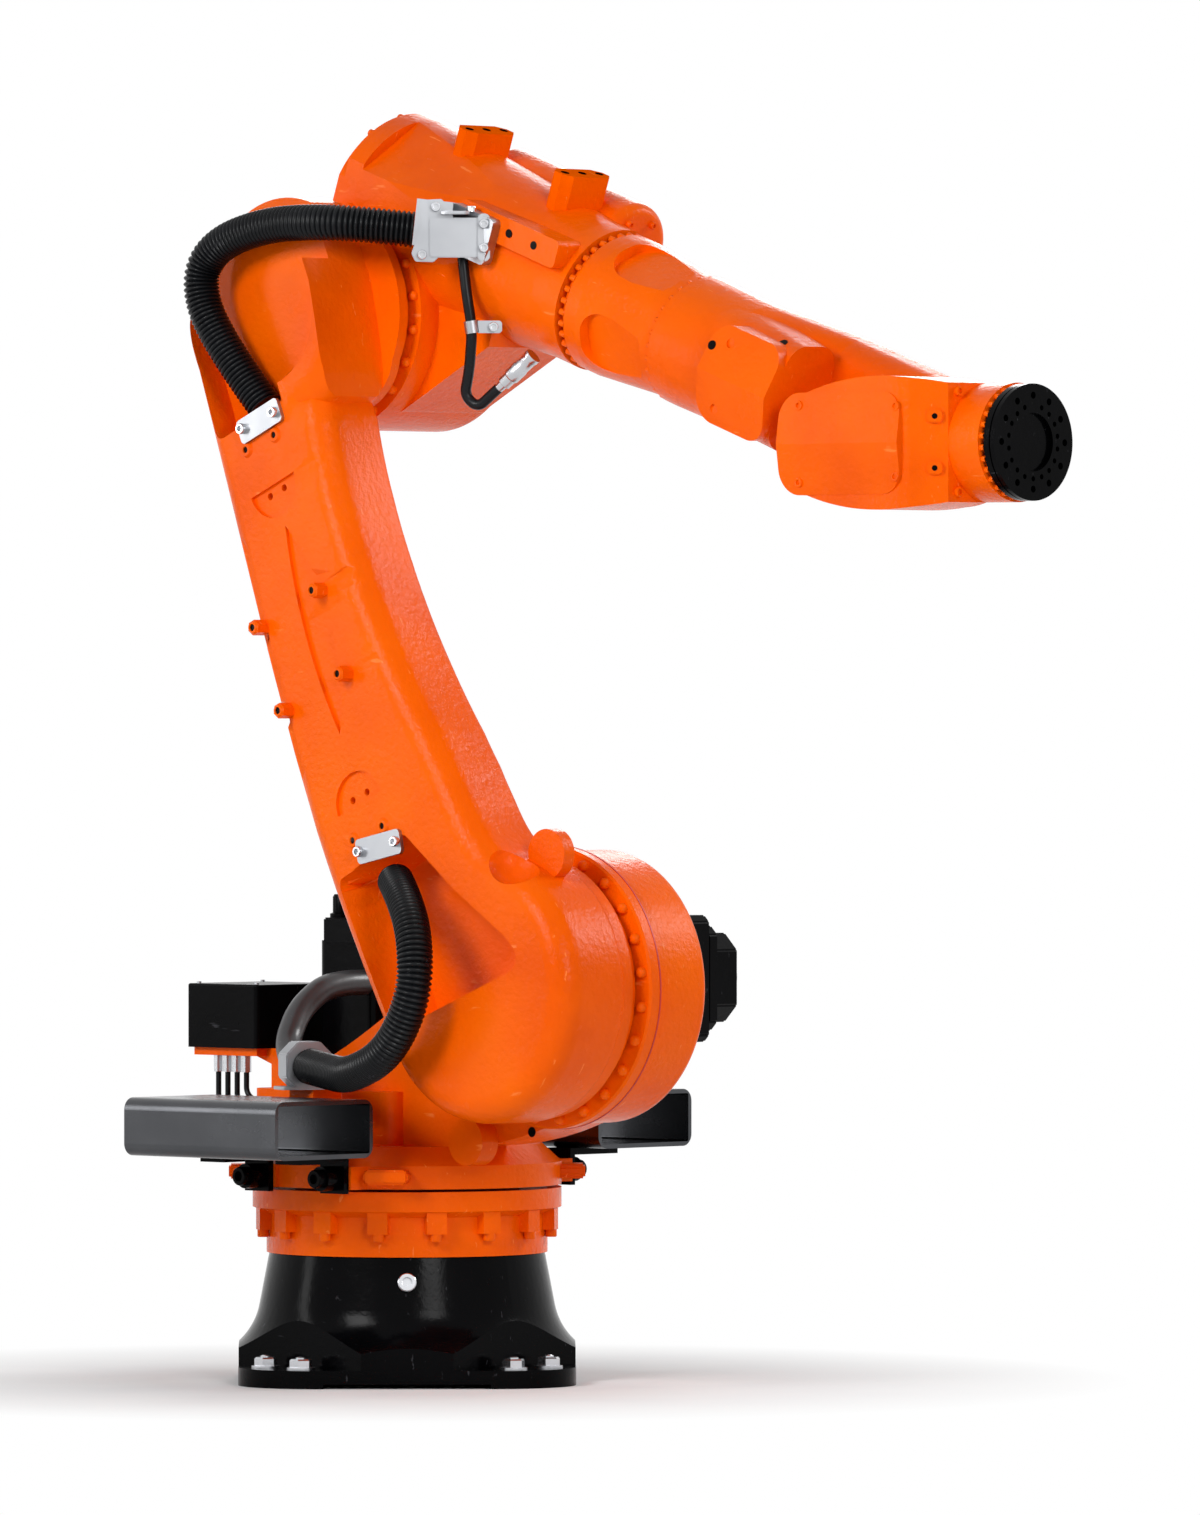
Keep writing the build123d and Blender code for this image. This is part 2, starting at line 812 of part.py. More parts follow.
# Link arm: a curved web between two hubs, scooped out on its near side where the hoses run in
front_points = [(forward, share * link_length) for forward, share in zip(front_edge, front_edge_shares)]
with BuildPart() as link_arm:
    with BuildSketch(link_plane(link_far)):
        with BuildLine():
            Polyline(
                front_points[0],
                (0, 0),
                (-rear_edge_low, 0),
                (-rear_edge_high, link_length),
                (0, link_length),
                front_points[-1],
            )
            Spline(*front_points)
        make_face()
        Circle(lower_hub_radius)
        with Locations((0, link_length)):
            Circle(upper_hub_radius)
    extrude(amount=link_far - link_near)
    fillet(link_arm.faces().sort_by(Axis.Y)[0].edges(), link_near_fillet)
    fillet(link_arm.faces().sort_by(Axis.Y)[-1].edges(), link_far_fillet)

    # Stepped rings that carry the casting across to the two bearings
    with BuildSketch(link_plane(hub_ring_far)):
        Circle(hub_ring_radius)
        with Locations((0, link_length)):
            Circle(elbow_ring_radius)
    extrude(amount=hub_ring_far - link_far + link_far_fillet)
    with BuildSketch(link_plane(ring_plane)):
        Circle(link_neck_radius)
        with Locations((0, link_length)):
            Circle(elbow_neck_radius)
    extrude(amount=ring_plane - hub_ring_far)
    with BuildSketch(link_plane(ring_plane)):
        Circle(bearing_radius + fit)
        with Locations((0, link_length)):
            Circle(elbow_bearing_radius + fit)
    extrude(amount=bearing_depth, mode=Mode.SUBTRACT)

    # Upper scoop: a round bowl over the elbow, open to the rear and the top where the hose passes
    scoop_low = link_length - upper_scoop_start
    hub_rise = link_length + upper_hub_radius / 2
    pillar_top = link_length + pillar_rise
    beyond = 2 * upper_hub_radius
    with BuildSketch(link_plane(upper_hub_near)) as upper_scoop:
        with BuildLine():
            Polyline(
                (-upper_scoop_wall, scoop_low),
                (-upper_scoop_wall, hub_rise),
                (-beyond, hub_rise),
                (-beyond, link_length + beyond),
                (beyond, link_length + beyond),
                (beyond, pillar_top),
                (0, pillar_top),
                (-upper_scoop_front, scoop_low),
                close=True,
            )
        make_face()
        fillet(upper_scoop.vertices().sort_by_distance((-upper_scoop_wall, scoop_low))[:1], scoop_fillet)
    extrude(amount=upper_hub_near - link_near, mode=Mode.SUBTRACT)
    with BuildSketch(link_plane(link_near)):
        with Locations((0, link_length)):
            Circle(bowl_radius)
    extrude(amount=link_near - upper_hub_near, taper=bowl_taper, mode=Mode.SUBTRACT)

    # Lower scoop, where the hose from the column runs in
    with BuildSketch(link_plane(link_near)) as scoop_mouth:
        with BuildLine():
            Polyline(*lower_scoop, close=True)
        make_face()
        fillet(scoop_mouth.vertices(), scoop_fillet)
    extrude(amount=-scoop_depth, taper=scoop_taper, mode=Mode.SUBTRACT)

    # Lifting lug on the front, two half-moon pads, a long groove and four standoffs
    with BuildSketch(link_plane(lug_disc_y + lug_disc_thickness / 2)):
        with Locations(lug_disc_place):
            Circle(lug_disc_radius)
    extrude(amount=lug_disc_thickness)
    with Locations(link_plane(lug_hollow_y).location * Location((*lug_hollow_place, 0))):
        Sphere(lug_hollow_radius, mode=Mode.SUBTRACT)
    upper_moon = (half_moon_upper[0], link_length - half_moon_upper[1])
    for place, side in ((upper_moon, 1), (half_moon_lower, -1)):
        with BuildSketch(link_plane(link_near)):
            with Locations(place):
                Circle(half_moon_radius)
                with Locations((0, side * half_moon_radius)):
                    Rectangle(2 * half_moon_radius, 2 * half_moon_radius, mode=Mode.SUBTRACT)
        extrude(amount=-half_moon_depth, mode=Mode.SUBTRACT)
        with BuildSketch(link_plane(link_near)):
            with Locations((place[0], place[1] - side * half_moon_hole_rise)):
                with GridLocations(half_moon_hole_pitch, 0, 2, 1):
                    Circle(half_moon_hole / 2)
        extrude(amount=-half_moon_hole_depth, mode=Mode.SUBTRACT)
    groove_top, groove_middle, groove_low = (share * link_length for share in groove_shares)
    with BuildSketch(link_plane(link_near)):
        with BuildLine():
            top, low = (groove_ends[0], groove_top), (groove_ends[1], groove_low)
            ThreePointArc(top, (groove_front, groove_middle), low)
            ThreePointArc(low, (groove_rear, groove_middle), top)
        make_face()
    extrude(amount=-groove_depth, mode=Mode.SUBTRACT)
    with BuildSketch(link_plane(link_near + link_near_fillet)):
        with Locations((standoff_place, standoff_share * link_length)):
            with GridLocations(standoff_across, standoff_along, 2, 2):
                RegularPolygon(standoff_radius, 6)
    extrude(amount=link_near_fillet + standoff_height)
save(link_arm, "link_arm")

# Clamp plates that hold the two hoses in the link arm's scoops
with BuildPart() as lower_clamp_plate:
    with BuildSketch(link_plane(link_near)):
        with Locations(lower_plate_place):
            RectangleRounded(
                clamp_plate_length, clamp_plate_width, clamp_plate_corner, rotation=lower_plate_turn
            )
    extrude(amount=clamp_plate_thickness)
save(lower_clamp_plate, "lower_clamp_plate")

with BuildPart() as upper_clamp_plate:
    with BuildSketch(link_plane(link_near)):
        with Locations((upper_plate_place[0], link_length + upper_plate_place[1])):
            RectangleRounded(clamp_plate_length, clamp_plate_width, clamp_plate_corner)
    extrude(amount=clamp_plate_thickness)
save(upper_clamp_plate, "upper_clamp_plate")

# Elbow housing: a hub on the elbow axis under a body of revolution on the roll axis
with BuildPart() as elbow_hub:
    with BuildSketch(arm_plane(housing_near)):
        with Locations((0, -elbow_offset)):
            Circle(elbow_hub_radius)
    extrude(amount=housing_near - elbow_hub_far)
    fillet(elbow_hub.faces().sort_by(Axis.Y)[-1].edges(), elbow_hub_fillet)

with BuildPart() as gusset:
    with BuildSketch(arm_plane(gusset_half_width)):
        with BuildLine():
            Polyline(
                (0, -elbow_offset),
                gusset_low,
                (gusset_reach, -housing_mid_radius),
                (gusset_reach, 0),
                (0, 0),
                close=True,
            )
        make_face()
    extrude(amount=2 * gusset_half_width)
    fillet(gusset.edges().sort_by(Axis.Z)[:1], gusset_fillet)

with BuildPart() as elbow_housing:
    with BuildSketch(arm_plane(0)):
        with BuildLine():
            Polyline(
                (housing_rear, 0),
                (housing_rear, rear_rim_radius),
                (housing_rear + rear_rim_depth, rear_rim_radius),
                (housing_mid, housing_mid_radius),
                (collar_start, collar_radius),
                (roll_seam - seam, collar_radius),
                (roll_seam - seam, roll_bearing_radius),
                (roll_seam - seam + bearing_depth, roll_bearing_radius),
                (roll_seam - seam + bearing_depth, 0),
                close=True,
            )
        make_face()
    revolve(axis=roll_axis)

    # Flat facet on the near shoulder, behind the rear rim
    with BuildSketch(roll_plane(housing_rear + rear_rim_depth)):
        with Locations(Location((0, 0), facet_angle)):
            with Locations((0, facet_rise)):
                Rectangle(2 * rear_rim_radius, rear_rim_radius, align=(Align.CENTER, Align.MIN))
    extrude(amount=housing_mid - housing_rear, mode=Mode.SUBTRACT)

    # Hub on the elbow axis, and the gusset that carries it forward under the body
    add(elbow_hub.part)
    add(gusset.part)

    # Bell-shaped boss on the near side
    with BuildSketch(top_plane(boss_place[0], boss_place[1])):
        with Locations((boss_side, 0)):
            Circle(boss_radius)
    with BuildSketch(top_plane(boss_place[0], boss_place[1] + boss_height)):
        with Locations((boss_side, 0)):
            Circle(boss_top_radius)
    loft()

    # Near side trimmed flat to clear the link arm
    with BuildSketch(arm_plane(housing_near)):
        with Locations((0, -elbow_offset)):
            Rectangle(2 * (roll_seam + elbow_offset), 2 * (elbow_offset + elbow_hub_radius))
    extrude(amount=rear_rim_radius, mode=Mode.SUBTRACT)
    with BuildSketch(arm_plane(housing_near)):
        with Locations((0, -elbow_offset)):
            Circle(elbow_bearing_radius)
    extrude(amount=bearing_depth)
save(elbow_housing, "elbow_housing")

with BuildPart() as rear_cover:
    with BuildSketch(roll_plane(housing_rear)):
        Circle(rear_rim_radius - rear_cover_depth)
        with Locations((-rear_rim_radius, 0)):
            Rectangle(2 * (rear_rim_radius + housing_near), 2 * rear_rim_radius, mode=Mode.SUBTRACT)
    extrude(amount=-rear_cover_depth)
    add(elbow_housing.part, mode=Mode.SUBTRACT)
save(rear_cover, "rear_cover")

with BuildPart() as motor_cover:
    with BuildSketch(roll_plane(motor_cover_start)):
        with Locations((motor_cover_side, motor_cover_rise)):
            Circle(motor_cover_radius)
    extrude(amount=collar_start - motor_cover_start)
    fillet(motor_cover.edges().filter_by(GeomType.CIRCLE), motor_cover_fillet)
    add(elbow_housing.part, mode=Mode.SUBTRACT)
save(motor_cover, "motor_cover")


def mounting_block(place):
    """A drilled block with cut-off corners on top of the housing, its three holes side by side."""
    with BuildPart() as piece:
        with BuildSketch(top_plane(place, 0)) as outline:
            Rectangle(block_width, block_length)
            chamfer(outline.vertices(), block_chamfer)
        extrude(amount=block_top)
        add(elbow_housing.part, mode=Mode.SUBTRACT)
        add(motor_cover.part, mode=Mode.SUBTRACT)
        with BuildSketch(top_plane(place, block_top)):
            with GridLocations(block_hole_pitch, 0, 3, 1):
                Circle(block_hole / 2)
        extrude(amount=-block_hole_depth, mode=Mode.SUBTRACT)
    return piece


save(mounting_block(block_rear_place), "mounting_block_rear")
save(mounting_block(block_front_place), "mounting_block_front")

# Near side of the elbow: a rail, the hose clamp with its plate, and the angle bracket that carries both
with BuildPart() as side_rail:
    with BuildSketch(arm_plane(rail_root)):
        with Locations((rail_place, rail_rise)):
            RectangleRounded(rail_length, rail_height, rail_corner)
    extrude(amount=rail_root - housing_near)
    add(elbow_housing.part, mode=Mode.SUBTRACT)
    with BuildSketch(arm_plane(housing_near)):
        with Locations((rail_hole_place, rail_rise)):
            with GridLocations(rail_hole_pitch, 0, 2, 1):
                Circle(rail_hole / 2)
    extrude(amount=housing_near - rail_root, mode=Mode.SUBTRACT)
save(side_rail, "side_rail")

with BuildPart() as angle_bracket:
    with BuildSketch(arm_plane(housing_near)):
        with Locations((bracket_place, bracket_rise)):
            RectangleRounded(angle_length, angle_height, rail_corner)
    extrude(amount=angle_thickness)
save(angle_bracket, "angle_bracket")

with BuildPart() as elbow_hose_clamp:
    with BuildSketch(end_plane(upper_hose_route[-1], upper_hose_route[-2])):
        Rectangle(clamp_width, clamp_height)
    extrude(amount=clamp_depth)
    for neighbour in (angle_bracket, side_rail, elbow_housing):
        add(neighbour.part, mode=Mode.SUBTRACT)
save(elbow_hose_clamp, "elbow_hose_clamp")

# Thin cable from the bracket down to two plugs under the elbow, held by a clip
with BuildPart() as elbow_cable:
    add(tube(elbow_cable_points, cable_diameter).part)
    add(angle_bracket.part, mode=Mode.SUBTRACT)
save(elbow_cable, "elbow_cable")

clip_spot = elbow_cable_points[2]
with BuildPart() as cable_clip:
    with Locations((clip_spot[0], housing_near - clip_reach, clip_spot[2])):
        Box(clip_length, 2 * clip_reach, clip_height, align=(Align.CENTER, Align.MIN, Align.CENTER))
    add(elbow_housing.part, mode=Mode.SUBTRACT)
    add(elbow_cable.part, mode=Mode.SUBTRACT)
save(cable_clip, "cable_clip")

with BuildPart() as plug_connectors:
    with BuildSketch(end_plane(elbow_cable_points[-1], elbow_cable_points[-2])):
        Circle(plug_radius)
    extrude(amount=plug_length)
save(plug_connectors, "plug_connectors")

# Wrist roll tube: a necked taper that forks into a long far prong and a short near cheek
with BuildPart() as prong:
    with BuildSketch(roll_plane(near_stop)):
        with Locations(((prong_near + prong_far) / 2, 0)):
            RectangleRounded(prong_far - prong_near, 2 * prong_half_height, prong_corner)
    extrude(amount=wrist_reach - near_stop + prong_half_height)
    with BuildSketch(arm_plane(prong_far)):
        with Locations((near_stop, 0)):
            Rectangle(wrist_reach - near_stop, 2 * prong_half_height, align=(Align.MIN, Align.CENTER))
        with Locations((wrist_reach, 0)):
            Circle(prong_half_height)
    extrude(amount=prong_far - prong_near, mode=Mode.INTERSECT)

with BuildPart() as wrist_tube:
    with BuildSketch(arm_plane(0)):
        with BuildLine():
            Polyline(
                (roll_seam, roll_bearing_radius + fit),
                (roll_seam, tube_groove_radius),
                (roll_seam + tube_groove_length, tube_groove_radius),
                (roll_seam + tube_groove_length, tube_start_radius),
                (roll_seam + tube_groove_length + tube_ring_length, tube_start_radius),
                (tube_neck, tube_neck_radius),
                (tube_neck, tube_band_radius),
                (tube_neck + tube_band_length, tube_band_radius),
                (tube_end, tube_end_radius),
                (tube_end, 0),
                (roll_seam + bearing_depth, 0),
                (roll_seam + bearing_depth, roll_bearing_radius + fit),
                close=True,
            )
        make_face()
    revolve(axis=roll_axis)
    across = roll_plane(tube_pocket_start)
    for turn in tube_pocket_turns:
        outward = across.y_dir * cos(radians(turn)) - across.x_dir * sin(radians(turn))
        flat = Plane(origin=across.origin, x_dir=across.z_dir, z_dir=outward)
        with BuildSketch(flat.offset(tube_pocket_rise)):
            RectangleRounded(
                tube_pocket_end - tube_pocket_start,
                tube_pocket_width,
                tube_pocket_corner,
                align=(Align.MIN, Align.CENTER),
            )
        extrude(amount=tube_start_radius, mode=Mode.SUBTRACT)
    with BuildSketch(roll_plane(tube_end)):
        Circle(tube_end_radius)
    with BuildSketch(roll_plane(near_stop)):
        with Locations(((prong_near + prong_far) / 2, 0)):
            RectangleRounded(prong_far - prong_near, 2 * prong_half_height, prong_corner)
    loft()
    with BuildSketch(roll_plane(tube_neck + tube_band_length)):
        Circle(tube_neck_radius)
    with BuildSketch(roll_plane(near_stop)):
        with Locations(((cheek_near + prong_near) / 2, 0)):
            RectangleRounded(prong_near - cheek_near, 2 * cheek_half_height, cheek_corner)
    loft()
    add(prong.part)
    with BuildSketch(arm_plane(prong_near + overrun)):
        with Locations((wrist_reach, 0)):
            Circle(pitch_bearing_radius)
    extrude(amount=prong_near + overrun - pitch_gap + bearing_depth)
save(wrist_tube, "wrist_tube")


def roof_planes(place, slope):
    """Two planes that meet in a ridge along local x and fall away to both sides of it by the slope angle."""
    rise = place.z_dir * cos(radians(slope))
    side = place.y_dir * sin(radians(slope))
    return [
        Plane(origin=place.origin, x_dir=place.x_dir, z_dir=z_dir) for z_dir in (rise + side, rise - side)
    ]


with BuildPart() as wrist_side_cover:
    with BuildSketch(arm_plane(cheek_near + cheek_corner)):
        with Locations((near_stop - cover_half_length, 0)):
            RectangleRounded(2 * cover_half_length, 2 * cover_half_height, cover_corner)
    extrude(amount=cheek_near + cheek_corner - cover_near)
    for ridge in roof_planes(arm_plane(cover_near), cover_slope):
        split(bisect_by=ridge, keep=Keep.BOTTOM)
    add(wrist_tube.part, mode=Mode.SUBTRACT)
    with BuildSketch(arm_plane(cover_near)):
        with Locations((near_stop + cover_hole_place, 0)):
            with GridLocations(0, 2 * cover_hole_half_pitch, 1, 2):
                Circle(cover_hole / 2)
    extrude(amount=-cover_hole_depth, mode=Mode.SUBTRACT)
save(wrist_side_cover, "wrist_side_cover")

# Wrist pitch housing on the near side of the prong: its side outline cut by its plan outline
with BuildPart() as pitch_housing:
    with BuildSketch(wrist_plane(pitch_gap)):
        with BuildLine():
            upper = Spline(
                (flange_ring_start, flange_ring_radius),
                (pitch_shoulder, pitch_half_height),
                (-pitch_rear_shoulder, pitch_rear_half),
                (-pitch_tail, pitch_tail_half),
            )
            lower = Spline(
                (-pitch_tail, -pitch_tail_half),
                (-pitch_rear_shoulder, -pitch_rear_half),
                (pitch_shoulder, -pitch_half_height),
                (flange_ring_start, -flange_ring_radius),
            )
            Line(upper @ 1, lower @ 0)
            Line(lower @ 1, upper @ 0)
        make_face()
    extrude(amount=pitch_gap - pitch_near)
    with BuildSketch(Plane(origin=(wrist_x, 0, wrist_z - 2 * pitch_half_height))) as plan:
        with BuildLine():
            Polyline(
                (-pitch_tail - overrun, pitch_gap),
                (-pitch_tail - overrun, pitch_near + pitch_corner),
                (-pitch_tail + pitch_corner, pitch_near),
                (flange_ring_start - pitch_shoulder, pitch_near),
                (flange_ring_start, -flange_ring_radius),
                (flange_ring_start, pitch_gap),
                close=True,
            )
        make_face()
        fillet(plan.vertices().group_by(Axis.Y)[0], pitch_corner)
    extrude(amount=4 * pitch_half_height, mode=Mode.INTERSECT)
    with BuildSketch(wrist_plane(pitch_gap)):
        Circle(pitch_bearing_radius + fit)
    extrude(amount=bearing_depth + seam, mode=Mode.SUBTRACT)
save(pitch_housing, "pitch_housing")

with BuildPart() as pitch_cover:
    with BuildSketch(wrist_plane(pitch_near + pitch_corner)):
        with Locations((-pitch_cover_tail, 0)):
            RectangleRounded(
                pitch_cover_tail + pitch_cover_front,
                2 * pitch_cover_half,
                pitch_cover_corner,
                align=(Align.MIN, Align.CENTER),
            )
    extrude(amount=pitch_corner + pitch_cover_thickness)
    for ridge in roof_planes(wrist_plane(pitch_near - pitch_cover_thickness), pitch_cover_slope):
        split(bisect_by=ridge, keep=Keep.BOTTOM)
    add(pitch_housing.part, mode=Mode.SUBTRACT)
save(pitch_cover, "pitch_cover")

with BuildPart() as flange_ring:
    with BuildSketch(tool_plane(flange_ring_start)):
        Circle(flange_ring_radius)
    extrude(amount=flange_ring_end - flange_ring_start)
    with BuildSketch(tool_plane(flange_ring_start)):
        with Locations((flange_ring_radius + pitch_gap, 0)):
            Rectangle(2 * flange_ring_radius, 2 * flange_ring_radius + overrun)
    extrude(amount=flange_ring_full - flange_ring_start, mode=Mode.SUBTRACT)
    with BuildSketch(tool_plane(flange_ring_end)):
        Circle(flange_spigot_radius + fit)
    extrude(amount=-bearing_depth, mode=Mode.SUBTRACT)
save(flange_ring, "flange_ring")

# Tool flange: a drilled disc with a centring recess, turning on a spigot in the ring
with BuildPart() as tool_flange:
    with BuildSketch(tool_plane(flange_reach)):
        Circle(flange_radius)
    extrude(amount=-flange_thickness)
    with BuildSketch(tool_plane(flange_reach - flange_thickness)):
        Circle(flange_spigot_radius)
    extrude(amount=flange_ring_end - bearing_depth + seam - flange_reach + flange_thickness)
    with BuildSketch(tool_plane(flange_reach)):
        with PolarLocations(flange_pcd / 2, flange_hole_count, start_angle=90):
            Circle(flange_hole / 2)
    extrude(amount=-flange_thickness, mode=Mode.SUBTRACT)
    with BuildSketch(tool_plane(flange_reach)):
        with PolarLocations(inner_pcd / 2, inner_slots - 1, start_angle=90 + 360 / inner_slots,
                            angular_range=360 - 360 / inner_slots):
            Circle(inner_hole / 2)
        Circle(flange_bore / 2)
    extrude(amount=-flange_bore_depth, mode=Mode.SUBTRACT)
    with BuildSketch(tool_plane(flange_reach - flange_thickness / 2)):
        Circle(flange_radius)
        Circle(flange_radius - flange_groove_depth, mode=Mode.SUBTRACT)
    extrude(amount=flange_groove, mode=Mode.SUBTRACT)
save(tool_flange, "tool_flange")
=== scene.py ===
"""Six-axis industrial robot arm: finishes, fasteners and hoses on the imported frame. Metres."""

import json
from math import cos, pi, radians, sin

import bmesh
import bpy
from mathutils import Matrix, Vector


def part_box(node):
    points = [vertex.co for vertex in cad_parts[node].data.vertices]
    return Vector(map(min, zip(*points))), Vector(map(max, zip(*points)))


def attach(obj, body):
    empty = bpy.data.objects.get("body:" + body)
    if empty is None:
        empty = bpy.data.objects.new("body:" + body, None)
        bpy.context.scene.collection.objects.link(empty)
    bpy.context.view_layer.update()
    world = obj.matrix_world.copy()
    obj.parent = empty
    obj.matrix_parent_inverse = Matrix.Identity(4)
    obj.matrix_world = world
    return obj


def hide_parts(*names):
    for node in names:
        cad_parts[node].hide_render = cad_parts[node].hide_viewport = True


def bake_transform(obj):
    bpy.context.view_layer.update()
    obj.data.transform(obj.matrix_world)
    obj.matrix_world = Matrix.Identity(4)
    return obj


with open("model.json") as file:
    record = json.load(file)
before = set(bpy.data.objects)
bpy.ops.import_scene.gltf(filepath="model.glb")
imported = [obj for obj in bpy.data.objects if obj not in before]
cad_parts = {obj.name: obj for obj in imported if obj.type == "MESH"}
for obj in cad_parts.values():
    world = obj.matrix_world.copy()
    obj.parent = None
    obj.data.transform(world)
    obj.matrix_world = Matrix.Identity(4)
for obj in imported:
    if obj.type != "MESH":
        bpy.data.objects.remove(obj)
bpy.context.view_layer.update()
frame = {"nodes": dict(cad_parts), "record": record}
scene = bpy.context.scene
scene.view_settings.view_transform = "Standard"


def towards(place, aim):
    """Rotation of a camera or lamp that looks from a place at its aim."""
    return (Vector(aim) - Vector(place)).to_track_quat("-Z", "Y").to_euler()


# Camera: a long lens from the front right, a little above the middle of the arm
camera_place = (15.98, -15.98, 1.249)
camera_aim = (0.2437, 0.2437, 1.112)
camera_lens = 300.6
camera_sensor = 36

camera_data = bpy.data.cameras.new("camera")
camera_data.lens = camera_lens
camera_data.sensor_fit = "VERTICAL"
camera_data.sensor_height = camera_sensor
camera = bpy.data.objects.new("camera", camera_data)
scene.collection.objects.link(camera)
camera.location = camera_place
camera.rotation_euler = towards(camera_place, camera_aim)
scene.camera = camera


def material(name):
    """A new node material, its tree and its shader."""
    made = bpy.data.materials.new(name)
    made.use_nodes = True
    return made, made.node_tree, made.node_tree.nodes["Principled BSDF"]


def node(tree, kind, **inputs):
    """Adds a node and sets its sockets by name."""
    made = tree.nodes.new(kind)
    for key, value in inputs.items():
        made.inputs[key].default_value = value
    return made


def combined(tree, operation, first, second):
    """A math node fed by two sockets."""
    made = tree.nodes.new("ShaderNodeMath")
    made.operation = operation
    tree.links.new(first, made.inputs[0])
    tree.links.new(second, made.inputs[1])
    return made.outputs["Value"]


def noise(tree, scale, detail=4.0):
    """Noise on the object's own coordinates."""
    coords = tree.nodes.new("ShaderNodeTexCoord")
    made = node(tree, "ShaderNodeTexNoise", Scale=scale, Detail=detail, Roughness=0.55)
    tree.links.new(coords.outputs["Object"], made.inputs["Vector"])
    return made.outputs["Fac"]


def ramp(tree, source, stops):
    """A colour ramp fed by a value: stops are (place, colour)."""
    made = tree.nodes.new("ShaderNodeValToRGB")
    elements = made.color_ramp.elements
    while len(elements) < len(stops):
        elements.new(0.5)
    for element, (place, colour) in zip(elements, stops):
        element.position = place
        element.color = (*colour, 1)
    tree.links.new(source, made.inputs["Fac"])
    return made.outputs["Color"]


def roughen(tree, shader, source, places, roughness):
    """Roughness that drifts between two values with a source."""
    stops = [(place, (value,) * 3) for place, value in zip(places, roughness)]
    tree.links.new(ramp(tree, source, stops), shader.inputs["Roughness"])


def bump(tree, shader, source, distance):
    """Bump from a value, added on top of any bump the shader already has."""
    made = node(tree, "ShaderNodeBump", Strength=1.0, Distance=distance)
    tree.links.new(source, made.inputs["Height"])
    for link in shader.inputs["Normal"].links:
        tree.links.new(link.from_socket, made.inputs["Normal"])
    tree.links.new(made.outputs["Normal"], shader.inputs["Normal"])


def scratches(tree):
    """Thin scratches: stretched noise cut to its peaks."""
    coords = tree.nodes.new("ShaderNodeTexCoord")
    mapping = node(tree, "ShaderNodeMapping", Scale=(9, 130, 40), Rotation=(0.5, 0.9, 0.4))
    fine = node(tree, "ShaderNodeTexNoise", Scale=1.0, Detail=3.0)
    tree.links.new(coords.outputs["Object"], mapping.inputs["Vector"])
    tree.links.new(mapping.outputs["Vector"], fine.inputs["Vector"])
    return ramp(tree, fine.outputs["Fac"], ((0.69, (0, 0, 0)), (0.73, (1, 1, 1))))


def worn(tree, drift, wear):
    """A drifting colour with scratches in the colour of the wear."""
    drift_input, wear_input, colour_output = 6, 7, 2
    made = tree.nodes.new("ShaderNodeMix")
    made.data_type = "RGBA"
    tree.links.new(scratches(tree), made.inputs["Factor"])
    tree.links.new(drift, made.inputs[drift_input])
    made.inputs[wear_input].default_value = (*wear, 1)
    return made.outputs[colour_output]


def painted(name, deep, main, pale, roughness, gloss, grain, wear, coat=0.0):
    """Paint, plastic or rubber: soft colour drift, a cast grain, and pale scratches."""
    made, tree, shader = material(name)
    drift = ramp(tree, noise(tree, scale=3.2, detail=5), ((0.32, deep), (0.5, main), (0.7, pale)))
    tree.links.new(worn(tree, drift, wear), shader.inputs["Base Color"])
    roughen(tree, shader, noise(tree, scale=16, detail=6), (0.3, 0.75), roughness)
    shader.inputs["Specular IOR Level"].default_value = gloss
    shader.inputs["Coat Weight"].default_value = coat
    shader.inputs["Coat Roughness"].default_value = 0.16
    bump(tree, shader, noise(tree, scale=90, detail=3), grain)
    bump(tree, shader, noise(tree, scale=420, detail=2), grain / 5)
    return made


def metal(name, deep, pale, roughness, grain_scale, grain):
    """Bare or plated metal with a slight drift and fine grain."""
    made, tree, shader = material(name)
    drift = ramp(tree, noise(tree, scale=9, detail=3), ((0.2, deep), (0.8, pale)))
    tree.links.new(drift, shader.inputs["Base Color"])
    roughen(tree, shader, noise(tree, scale=14, detail=3), (0.2, 0.8), roughness)
    shader.inputs["Metallic"].default_value = 1.0
    bump(tree, shader, noise(tree, scale=grain_scale, detail=4), grain)
    return made


def drifting(name, scale, low, high, roughness):
    """A plain material whose colour drifts between two shades."""
    made, tree, shader = material(name)
    drift = ramp(tree, noise(tree, scale), ((0.4, low), (0.6, high)))
    tree.links.new(drift, shader.inputs["Base Color"])
    shader.inputs["Roughness"].default_value = roughness
    return made, tree, shader


